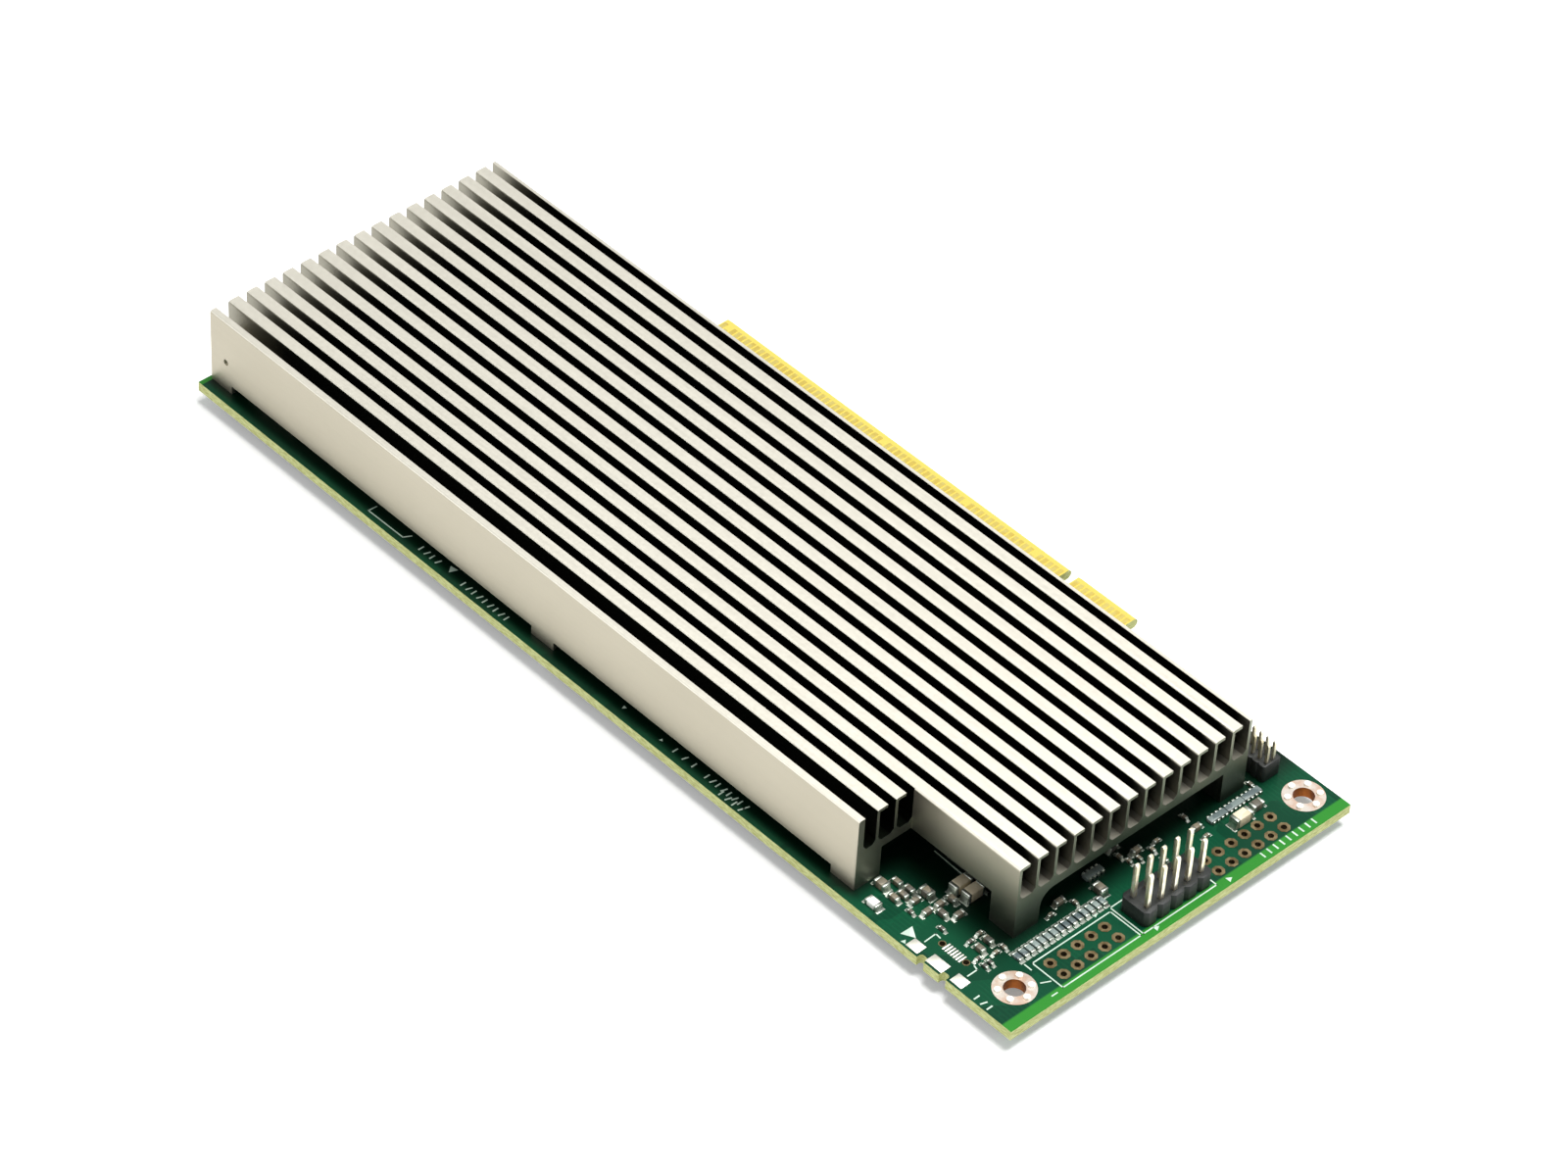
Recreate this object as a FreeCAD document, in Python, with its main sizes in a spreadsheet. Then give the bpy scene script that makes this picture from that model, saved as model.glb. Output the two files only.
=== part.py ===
import FreeCAD, Part
import Sketcher
import math
import os
from FreeCAD import Vector

# Passive accelerator card: a low-profile edge-connector board that carries one finned heat sink.
# Card coordinates: X runs along the board from its left end to the bracket end, Y runs from the
# plain long edge to the contact edge, and Z runs up. Every body is placed in those coordinates,
# and the document's origin lies under the middle of the board, on the plane it rests on.

doc = FreeCAD.newDocument("accelerator_card")
sheet = doc.addObject("Spreadsheet::Sheet", "sizes")

drivingSizes = [
    # board
    ("board_length", 167.65),
    ("board_height", 68.90),
    ("body_height", 64.50),
    ("board_thickness", 1.57),
    ("edge_slot_width", 1.30),
    ("edge_slot_depth", 0.90),
    ("edge_slot_corner", 0.45),
    ("hole_clearance", 0.02),
    ("small_round_sides", 8),
    ("screw_round_sides", 12),
    # edge connector
    ("notch_inset", 56.90),
    ("notch_width", 1.90),
    ("notch_corner", 0.60),
    ("short_tab_length", 11.20),
    ("long_tab_length", 71.20),
    ("tab_bevel", 0.50),
    ("contact_pitch", 1.00),
    ("contact_width", 0.70),
    ("contact_length", 4.00),
    ("contact_tip_inset", 1.20),
    ("contact_margin", 0.25),
    ("contact_trim", 1.10),
    ("short_contacts", 11),
    ("long_contacts", 71),
    ("plating", 0.05),
    # bracket holes
    ("bracket_inset", 5.30),
    ("bracket_near", 5.85),
    ("bracket_spacing", 55.00),
    ("bracket_hole_radius", 1.55),
    ("bracket_land_radius", 3.05),
    ("bump_radius", 0.50),
    ("bump_height", 0.28),
    ("bump_count", 6),
    # heat sink
    ("sink_left_inset", 0.60),
    ("sink_front_inset", 11.80),
    ("sink_near_inset", 2.00),
    ("sink_height", 12.75),
    ("step_inset", 31.70),
    ("stepped_fins", 2),
    ("fin_count", 15),
    ("fin_pitch", 3.33),
    ("fin_wall", 0.50),
    ("flange_width", 1.90),
    ("flange_thickness", 0.50),
    ("edge_round", 0.40),
    ("root_bevel", 0.60),
    ("outer_wall", 1.10),
    ("base_gap", 5.30),
    ("base_thickness", 1.50),
    ("skirt_gap", 1.45),
    ("foot_size", 4.60),
    ("middle_foot_inset", 96.75),
    ("arch_round", 2.50),
    ("dimple_radius", 0.50),
    ("dimple_depth", 0.35),
    ("dimple_inset", 3.40),
    ("dimple_height", 5.20),
    # heat sink screws
    ("screw_radius", 1.25),
    ("screw_hole_radius", 1.45),
    ("screw_head_radius", 2.50),
    ("screw_head_height", 2.10),
    ("screw_reach", 4.00),
    ("recess_width", 0.50),
    ("recess_length", 2.60),
    ("recess_depth", 1.00),
    ("thread_clearance", 0.02),
    ("thread_runout", 0.60),
    # processor stack
    ("processor_inset", 88.00),
    ("processor_size", 31.00),
    ("substrate_thickness", 1.40),
    ("lid_size", 27.00),
    ("lid_thickness", 1.60),
    ("thermal_pad_thickness", 0.50),
    ("lid_round", 1.50),
    # memory
    ("memory_length", 13.00),
    ("memory_width", 9.00),
    ("memory_height", 1.20),
    ("memory_pitch_x", 48.00),
    ("memory_pitch_y", 16.00),
    # power parts
    ("inductor_length", 10.60),
    ("inductor_width", 9.60),
    ("inductor_height", 2.60),
    ("inductor_inset", 18.00),
    ("inductor_near", 15.60),
    ("inductor_plate", 0.30),
    ("inductor_edge", 0.35),
    ("inductor_tongue", 5.00),
    ("regulator_size", 5.00),
    ("regulator_height", 0.90),
    ("regulator_inset", 44.00),
    ("regulator_pitch", 9.00),
    ("regulator_count", 3),
    # pin header
    ("pin_pitch", 2.54),
    ("pin_width", 0.64),
    ("pin_rise", 8.50),
    ("pin_tail", 1.20),
    ("pin_point", 0.35),
    ("pin_point_inset", 0.14),
    ("pin_rows", 2),
    ("header_pins", 5),
    ("header_inset", 2.90),
    ("header_near", 27.77),
    ("header_base_width", 5.00),
    ("header_base_height", 2.54),
    ("header_notch", 0.55),
    ("near_grid_holes", 5),
    ("near_grid_start", 12.53),
    ("far_grid_holes", 6),
    ("far_grid_start", 41.71),
    ("land_radius", 0.95),
    ("land_hole_radius", 0.46),
    ("land_wall", 0.05),
    ("solder_radius", 0.75),
    ("solder_rise", 0.80),
    # debug header
    ("fine_pitch", 1.27),
    ("fine_pin_width", 0.41),
    ("fine_pin_rise", 6.20),
    ("fine_pins", 5),
    ("fine_header_inset", 10.60),
    ("fine_header_near", 59.30),
    ("fine_base_width", 3.40),
    ("fine_base_height", 2.90),
    ("fine_notch", 0.25),
    ("fine_hole_radius", 0.36),
    ("fine_solder_radius", 0.50),
    # bare edge connector footprint
    ("footprint_inset", 14.90),
    ("footprint_pad_pitch", 4.15),
    ("footprint_pad_width", 2.20),
    ("footprint_pad_depth", 1.80),
    ("footprint_pad_near", 0.35),
    ("footprint_centre_width", 3.00),
    ("footprint_hole_spacing", 4.50),
    ("footprint_hole_near", 4.20),
    ("footprint_hole_radius", 0.45),
    ("footprint_land_radius", 0.58),
    ("footprint_signal_pitch", 0.50),
    ("footprint_signal_width", 0.30),
    ("footprint_signal_length", 1.50),
    ("footprint_signals", 7),
    ("tinning", 0.12),
    # resistor arrays
    ("array_length", 3.20),
    ("array_width", 1.60),
    ("array_height", 0.55),
    ("array_pitch", 3.30),
    ("array_count", 3),
    ("array_inset", 10.00),
    ("array_near", 47.20),
    ("array_tips", 4),
    ("array_tip_width", 0.45),
    ("array_tip_reach", 0.30),
    ("lone_array_inset", 13.35),
    ("lone_array_near", 26.80),
    # row of chip resistors by the near header
    ("row_inset", 8.95),
    ("row_start", 9.95),
    ("row_pitch", 1.12),
    ("row_count", 15),
]

for row, (alias, number) in enumerate(drivingSizes, start=1):
    sheet.set("A%d" % row, alias.replace("_", " "))
    sheet.set("B%d" % row, str(number))
    sheet.setAlias("B%d" % row, alias)

# chip parts: length between the ends, width, height and end cap length
chipKinds = {
    "fine_cap": (1.00, 0.50, 0.50, 0.25),
    "small_cap": (1.60, 0.80, 0.80, 0.35),
    "mid_cap": (2.00, 1.25, 1.10, 0.45),
    "large_cap": (3.20, 1.60, 1.60, 0.55),
    "resistor": (1.60, 0.80, 0.45, 0.30),
    "lamp": (2.20, 1.25, 0.90, 0.40),
}
row = len(drivingSizes) + 1
for kind, numbers in chipKinds.items():
    for word, number in zip(("length", "width", "height", "cap"), numbers):
        alias = "%s_%s" % (kind, word)
        sheet.set("A%d" % row, alias.replace("_", " "))
        sheet.set("B%d" % row, str(number))
        sheet.setAlias("B%d" % row, alias)
        row += 1
doc.recompute()

boardBottom = "sizes.screw_head_height"
boardTop = "sizes.screw_head_height + sizes.board_thickness"
parts = []


def placeInCard(thing, level):
    """Puts an object's own origin at the board's left near corner, at a level above the rest plane."""
    thing.setExpression("Placement.Base.x", "-sizes.board_length / 2")
    thing.setExpression("Placement.Base.y", "-sizes.board_height / 2")
    thing.setExpression("Placement.Base.z", level)


def newBody(label, level):
    body = doc.addObject("PartDesign::Body", label)
    body.Label = label
    placeInCard(body, level)
    parts.append(body)
    return body


def originFeature(body, role):
    return [feature for feature in body.Origin.OriginFeatures if feature.Role == role][0]


def newSketch(body, name, plane, x, y, z):
    """A sketch on one of the body's own planes, with its origin moved to x, y, z in card axes."""
    sketch = body.newObject("Sketcher::SketchObject", name)
    sketch.AttachmentSupport = (originFeature(body, plane + "_Plane"), [""])
    sketch.MapMode = "FlatFace"
    moves = {"XY": (x, y, z), "YZ": (y, z, x), "XZ": (x, z, "-(%s)" % y)}[plane]
    for axis, move in zip("xyz", moves):
        sketch.setExpression("AttachmentOffset.Base." + axis, move)
    return sketch


def bindAll(sketch, joins, sizes):
    """Adds plain constraints, then dimensions whose values follow expressions."""
    if joins:
        sketch.addConstraint(joins)
    first = sketch.ConstraintCount
    sketch.addConstraint([constraint for constraint, expression in sizes])
    for index, (constraint, expression) in enumerate(sizes, start=first):
        sketch.setExpression("Constraints[%d]" % index, expression)


def arcBetween(start, end, radius, side):
    """The short arc of a radius from start to end, with its centre to the left (1) or right (-1)."""
    chord = end - start
    middle = (start + end) / 2
    rise = math.sqrt(max(radius ** 2 - (chord.Length / 2) ** 2, 0))
    across = Vector(-chord.y, chord.x, 0).normalize()
    centre = middle + across * (rise * side)
    begin, finish = (start, end) if side > 0 else (end, start)
    opens, closes = [math.atan2(point.y - centre.y, point.x - centre.x) for point in (begin, finish)]
    if closes < opens:
        closes += 2 * math.pi
    return Part.ArcOfCircle(Part.Circle(centre, Vector(0, 0, 1), radius), opens, closes)


def addLoop(sketch, points, rounds):
    """Adds a closed loop; points are pairs of expressions, rounds maps an edge to (radius, side)."""
    first = sketch.GeometryCount
    flat = [Vector(sketch.evalExpression(u), sketch.evalExpression(v), 0) for u, v in points]
    count = len(points)
    for edge in range(count):
        start, end = flat[edge], flat[(edge + 1) % count]
        if edge in rounds:
            radius, side = rounds[edge]
            sketch.addGeometry(arcBetween(start, end, sketch.evalExpression(radius), side), False)
        else:
            sketch.addGeometry(Part.LineSegment(start, end), False)
    turned = [edge in rounds and rounds[edge][1] < 0 for edge in range(count)]
    joins, sizes = [], []
    for edge in range(count):
        follows = (edge + 1) % count
        tail = 1 if turned[edge] else 2
        nose = 2 if turned[follows] else 1
        joins.append(Sketcher.Constraint("Coincident", first + edge, tail, first + follows, nose))
    for edge, (u, v) in enumerate(points):
        nose = 2 if turned[edge] else 1
        spot = flat[edge]
        sizes.append((Sketcher.Constraint("DistanceX", -1, 1, first + edge, nose, spot.x), u))
        sizes.append((Sketcher.Constraint("DistanceY", -1, 1, first + edge, nose, spot.y), v))
    for edge, (radius, side) in rounds.items():
        size = sketch.evalExpression(radius)
        sizes.append((Sketcher.Constraint("Radius", first + edge, size), radius))
    bindAll(sketch, joins, sizes)


def outline(body, name, plane, at, points, rounds=None):
    sketch = newSketch(body, name, plane, *at)
    addLoop(sketch, points, rounds or {})
    return sketch


def rectangle(body, name, plane, at, width, depth):
    corners = [("0", "0"), (width, "0"), (width, depth), ("0", depth)]
    return outline(body, name, plane, at, corners)


def sided(radius, sides, u="0", v="0"):
    """Corners of a regular figure round u, v: a small round form that repeats many times."""
    angles = [(step + 0.5) * 360.0 / sides for step in range(sides)]
    return [("%s + cos(%g) * (%s)" % (u, angle, radius), "%s + sin(%g) * (%s)" % (v, angle, radius))
            for angle in angles]


def figures(body, name, at, centres, radii, sides):
    """Regular figures in a sketch on XY; more than one radius gives a ring."""
    sketch = newSketch(body, name, "XY", *at)
    for u, v in centres:
        for radius in radii:
            addLoop(sketch, sided(radius, sides, u, v), {})
    return sketch


def discs(body, name, at, centres, radius):
    """Circles of one radius in a sketch on XY, at centres given as expressions."""
    sketch = newSketch(body, name, "XY", *at)
    size = sketch.evalExpression(radius)
    sizes = []
    for index, (u, v) in enumerate(centres):
        centre = Vector(sketch.evalExpression(u), sketch.evalExpression(v), 0)
        sketch.addGeometry(Part.Circle(centre, Vector(0, 0, 1), size), False)
        sizes.append((Sketcher.Constraint("DistanceX", -1, 1, index, 3, centre.x), u))
        sizes.append((Sketcher.Constraint("DistanceY", -1, 1, index, 3, centre.y), v))
        sizes.append((Sketcher.Constraint("Radius", index, size), radius))
    bindAll(sketch, [], sizes)
    return sketch


def pad(body, sketch, length, name, taper=None, downward=False):
    feature = body.newObject("PartDesign::Pad", name)
    feature.Profile = sketch
    feature.Reversed = downward
    feature.setExpression("Length", length)
    if taper is not None:
        feature.setExpression("TaperAngle", taper)
    body.Tip = feature
    doc.recompute()
    return feature


def cut(body, sketch, name, depth=None, forward=False):
    """A pocket that must take material away; with no depth it goes right through."""
    before = body.Shape.Volume
    feature = body.newObject("PartDesign::Pocket", name)
    feature.Profile = sketch
    feature.Reversed = forward
    if depth is None:
        feature.Type = "ThroughAll"
    else:
        feature.setExpression("Length", depth)
    body.Tip = feature
    doc.recompute()
    if body.Shape.Volume >= before:
        raise RuntimeError(name + " cuts nothing")
    return feature


def revolve(body, sketch, name):
    feature = body.newObject("PartDesign::Revolution", name)
    feature.Profile = sketch
    feature.ReferenceAxis = (sketch, ["V_Axis"])
    feature.Angle = 360
    body.Tip = feature
    doc.recompute()
    return feature


def repeat(body, originals, name, first, second=None):
    """A linear pattern; each direction is (sketch, axis, count, pitch)."""
    feature = body.newObject("PartDesign::LinearPattern", name)
    feature.Originals = originals
    for suffix, direction in (("", first), ("2", second)):
        if direction:
            sketch, axis, count, pitch = direction
            setattr(feature, "Direction" + suffix, (sketch, [axis]))
            feature.setExpression("Occurrences" + suffix, count)
            feature.setExpression("Length" + suffix, "(%s - 1) * %s" % (count, pitch))
    body.Tip = feature
    doc.recompute()
    return feature


def fromRight(inset):
    return "(sizes.board_length - (%s))" % inset


def box(name, at, extent):
    solid = doc.addObject("Part::Box", name)
    for axis, spot in zip("xyz", at):
        solid.setExpression("Placement.Base." + axis, spot)
    for side, size in zip(("Length", "Width", "Height"), extent):
        solid.setExpression(side, size)
    return solid


def group(label, solids, level):
    compound = doc.addObject("Part::Compound", label)
    compound.Label = label
    compound.Links = solids
    placeInCard(compound, level)
    parts.append(compound)
    return compound


# ---- shared places -------------------------------------------------------------------------

sinkLeft = "sizes.sink_left_inset"
sinkNear = "sizes.sink_near_inset"
sinkWidth = "(sizes.fin_pitch * (sizes.fin_count + 1) + sizes.fin_wall)"
sinkLength = "(sizes.board_length - sizes.sink_left_inset - sizes.sink_front_inset)"
sinkFar = "(sizes.sink_near_inset + %s)" % sinkWidth
sinkFront = fromRight("sizes.sink_front_inset")
stepFront = fromRight("sizes.step_inset")
stepDepth = "(sizes.fin_pitch * (sizes.stepped_fins + 1))"
baseTop = "(sizes.base_gap + sizes.base_thickness)"
sinkMiddle = "(sizes.sink_near_inset + %s / 2)" % sinkWidth
processorMiddle = fromRight("sizes.processor_inset")
lidTop = "(sizes.substrate_thickness + sizes.lid_thickness)"
pedestalBottom = "(%s + sizes.thermal_pad_thickness)" % lidTop
notchMiddle = fromRight("sizes.notch_inset")
slack = "sizes.land_wall + sizes.hole_clearance"
smallSides = int(sheet.small_round_sides)
screwSides = int(sheet.screw_round_sides)
here = [("0", "0")]
footFar = sinkFar + " - sizes.foot_size"
footPlaces = [
    (sinkLeft, sinkNear),
    (sinkLeft, footFar),
    (fromRight("sizes.middle_foot_inset"), sinkNear),
    (fromRight("sizes.middle_foot_inset"), footFar),
    (stepFront + " - sizes.foot_size", sinkNear),
    (sinkFront + " - sizes.foot_size", sinkNear + " + " + stepDepth),
    (sinkFront + " - sizes.foot_size", footFar),
]
footCentres = [(x + " + sizes.foot_size / 2", y + " + sizes.foot_size / 2") for x, y in footPlaces]
bracketHoles = [(fromRight("sizes.bracket_inset"), "sizes.bracket_near"),
                (fromRight("sizes.bracket_inset"), "sizes.bracket_near + sizes.bracket_spacing")]
headerColumns = (fromRight("sizes.header_inset + sizes.pin_pitch"), fromRight("sizes.header_inset"))
fineColumn = fromRight("sizes.fine_header_inset + (sizes.fine_pins - 0.5) * sizes.fine_pitch")
fineRow = "sizes.fine_header_near"
footprintSides = ("-sizes.footprint_hole_spacing / 2", "sizes.footprint_hole_spacing / 2")
footprintHoles = [(fromRight("sizes.footprint_inset") + " + " + side, "sizes.footprint_hole_near")
                  for side in footprintSides]


# ---- board ---------------------------------------------------------------------------------

def drill(body, name, sketch):
    """Cuts a sketch's figures right through the board."""
    return cut(body, sketch, name, forward=True)


def bevelTab(body, name, face, inner):
    """Takes a lead-in off one face of the contact tab, right along the board."""
    tip = "sizes.board_height"
    corners = [(tip, face), (tip, inner), (tip + " - sizes.tab_bevel", face)]
    cut(body, outline(body, name + "_profile", "YZ", ("0", "0", "0"), corners), name, forward=True)


def roundEndedSlot(body, name, mouth, half, depth, corner, inward):
    """An open slot cut into an edge, with rounded inner corners; inward is 1 for +Y, -1 for -Y."""
    sign = "" if inward > 0 else "-"
    flat = "(%s - %s)" % (half, corner)
    shoulder = "(%s - %s)" % (depth, corner)
    mouthEdge = "-" + corner if inward > 0 else corner
    points = [("-" + half, mouthEdge), (half, mouthEdge), (half, sign + shoulder), (flat, sign + depth),
              ("-" + flat, sign + depth), ("-" + half, sign + shoulder)]
    rounds = {2: (corner, inward), 4: (corner, inward)}
    plan = outline(body, name + "_plan", "XY", mouth, points, rounds)
    cut(body, plan, name, forward=True)


def makeBoard():
    body = newBody("pcb", boardBottom)
    plate = rectangle(body, "plate_plan", "XY", ("0", "0", "0"),
                      "sizes.board_length", "sizes.body_height")
    pad(body, plate, "sizes.board_thickness", "plate")
    tabLength = "(sizes.short_tab_length + sizes.notch_width + sizes.long_tab_length)"
    tabLeft = notchMiddle + " - sizes.notch_width / 2 - sizes.long_tab_length"
    tab = rectangle(body, "tab_plan", "XY", (tabLeft, "sizes.body_height", "0"),
                    tabLength, "sizes.board_height - sizes.body_height")
    pad(body, tab, "sizes.board_thickness", "contact_tab")
    bevelTab(body, "bevel_top", "sizes.board_thickness", "sizes.board_thickness - sizes.tab_bevel")
    bevelTab(body, "bevel_bottom", "0", "sizes.tab_bevel")
    depth = "sizes.board_height - sizes.body_height"
    roundEndedSlot(body, "key_notch", (notchMiddle, "sizes.board_height", "0"),
                   "(sizes.notch_width / 2)", "(%s)" % depth, "sizes.notch_corner", -1)
    for side, spot in (("left", " - "), ("right", " + ")):
        middle = fromRight("sizes.footprint_inset") + spot + "sizes.footprint_pad_pitch / 2"
        roundEndedSlot(body, side + "_edge_slot", (middle, "0", "0"),
                       "(sizes.edge_slot_width / 2)", "sizes.edge_slot_depth",
                       "sizes.edge_slot_corner", 1)
    foot = ("0", "0", "0")
    drill(body, "bracket_holes", discs(body, "bracket_plan", foot, bracketHoles,
                                       "sizes.bracket_hole_radius + " + slack))
    for number, centre in enumerate(footCentres, start=1):
        name = "screw_hole_%d" % number
        drill(body, name, figures(body, name + "_plan", foot, [centre], ["sizes.screw_hole_radius"],
                                  screwSides))
    drill(body, "footprint_holes", figures(body, "footprint_plan", foot, footprintHoles,
                                           ["sizes.footprint_hole_radius + " + slack], smallSides))
    for name, start, count in (("near_grid", "sizes.near_grid_start", "sizes.near_grid_holes"),
                               ("header", "sizes.header_near", "sizes.header_pins"),
                               ("far_grid", "sizes.far_grid_start", "sizes.far_grid_holes")):
        sketch = figures(body, name + "_plan", (headerColumns[0], start, "0"), here,
                         ["sizes.land_hole_radius + " + slack], smallSides)
        hole = drill(body, name + "_hole", sketch)
        repeat(body, [hole], name + "_holes", (sketch, "H_Axis", "sizes.pin_rows", "sizes.pin_pitch"),
               (sketch, "V_Axis", count, "sizes.pin_pitch"))
    sketch = figures(body, "fine_plan", (fineColumn, fineRow, "0"), here,
                     ["sizes.fine_hole_radius"], smallSides)
    hole = drill(body, "fine_hole", sketch)
    repeat(body, [hole], "fine_holes", (sketch, "H_Axis", "sizes.fine_pins", "sizes.fine_pitch"),
           (sketch, "V_Axis", "sizes.pin_rows", "sizes.fine_pitch"))


def makeContacts(label, level, downward):
    """Gold contacts on one face: two runs of equal pads, some of them with a shorter tip."""
    body = newBody(label, level)
    tip = "sizes.board_height - sizes.contact_tip_inset"
    runs = (("short", notchMiddle + " + sizes.notch_width / 2 + sizes.contact_margin",
             "sizes.short_contacts"),
            ("long", notchMiddle + " - sizes.notch_width / 2 - sizes.contact_margin"
             " - sizes.contact_width - (sizes.long_contacts - 1) * sizes.contact_pitch",
             "sizes.long_contacts"))
    for name, left, count in runs:
        plan = rectangle(body, name + "_plan", "XY", (left, tip + " - sizes.contact_length", "0"),
                         "sizes.contact_width", "sizes.contact_length")
        first = pad(body, plan, "sizes.plating", name + "_contact", downward=downward)
        repeat(body, [first], name + "_contacts", (plan, "H_Axis", count, "sizes.contact_pitch"))
    for number in presencePads[label]:
        # contacts are counted from the bracket end, and the first of the long run is number 12
        left = notchMiddle + " - sizes.notch_width / 2 - sizes.contact_margin"
        left += " - sizes.contact_width - %d * sizes.contact_pitch" % (number - 12)
        if number < 12:
            left = notchMiddle + " + sizes.notch_width / 2 + sizes.contact_margin"
            left += " + (sizes.short_contacts - %d) * sizes.contact_pitch" % number
        side = "-sizes.contact_margin / 2"
        width = "sizes.contact_width + sizes.contact_margin"
        plan = rectangle(body, "trim_%d_plan" % number, "XY",
                         (left + " " + side, tip + " - sizes.contact_trim", "0"),
                         width, "sizes.contact_trim + sizes.contact_margin")
        cut(body, plan, "trim_%d" % number, forward=not downward)


presencePads = {"contact_fingers_top": (17, 31, 48, 81), "contact_fingers_bottom": (1,)}


# ---- plated holes --------------------------------------------------------------------------

def platedHole(body, at, hole, land):
    """A barrel through the board with a land on each face, as three stacked rings."""
    under = "-sizes.board_thickness"
    layers = (("foot", land, under + " - sizes.plating", "sizes.plating"),
              ("barrel", hole + " + sizes.land_wall", under, "sizes.board_thickness"),
              ("rim", land, "0", "sizes.plating"))
    rings = []
    for name, outer, low, tall in layers:
        sketch = figures(body, name + "_plan", (at[0], at[1], low), here, [outer, hole], smallSides)
        rings.append(pad(body, sketch, tall, name))
    return rings


def makeGridLands(label, start, count):
    body = newBody(label, boardTop)
    at = (headerColumns[0], start, "0")
    axes = patternAxes(body, at)
    rings = platedHole(body, at, "sizes.land_hole_radius", "sizes.land_radius")
    repeat(body, rings, "plated_holes", (axes, "H_Axis", "sizes.pin_rows", "sizes.pin_pitch"),
           (axes, "V_Axis", count, "sizes.pin_pitch"))


def patternAxes(body, at):
    """An empty sketch on XY whose axes lead a pattern."""
    return newSketch(body, "pattern_axes", "XY", *at)


def makeBracketRing(label, centre):
    """A turned barrel, because the bracket's screws bear on it and pass through it."""
    body = newBody(label, boardTop)
    hole, land = "sizes.bracket_hole_radius", "sizes.bracket_land_radius"
    wall = hole + " + sizes.land_wall"
    under = "-sizes.board_thickness"
    foot = under + " - sizes.plating"
    profile = outline(body, "barrel_profile", "XZ", (centre[0], centre[1], "0"),
                      [(hole, foot), (land, foot), (land, under), (wall, under), (wall, "0"),
                       (land, "0"), (land, "sizes.plating"), (hole, "sizes.plating")])
    revolve(body, profile, "barrel")


def makeBumps(label, centre):
    """Solder bumps that stand in a ring on a bracket hole's land."""
    body = newBody(label, boardTop)
    middle = "(sizes.bracket_hole_radius + sizes.bracket_land_radius) / 2"
    plan = figures(body, "bump_plan", (centre[0] + " + " + middle, centre[1], "sizes.plating"), here,
                   ["sizes.bump_radius"], smallSides)
    bump = pad(body, plan, "sizes.bump_height", "bump")
    axes = patternAxes(body, (centre[0], centre[1], "0"))
    ring = body.newObject("PartDesign::PolarPattern", "bumps")
    ring.Originals = [bump]
    ring.Axis = (axes, ["N_Axis"])
    ring.Angle = 360
    ring.setExpression("Occurrences", "sizes.bump_count")
    body.Tip = ring
    doc.recompute()


# ---- heat sink -----------------------------------------------------------------------------

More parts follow.
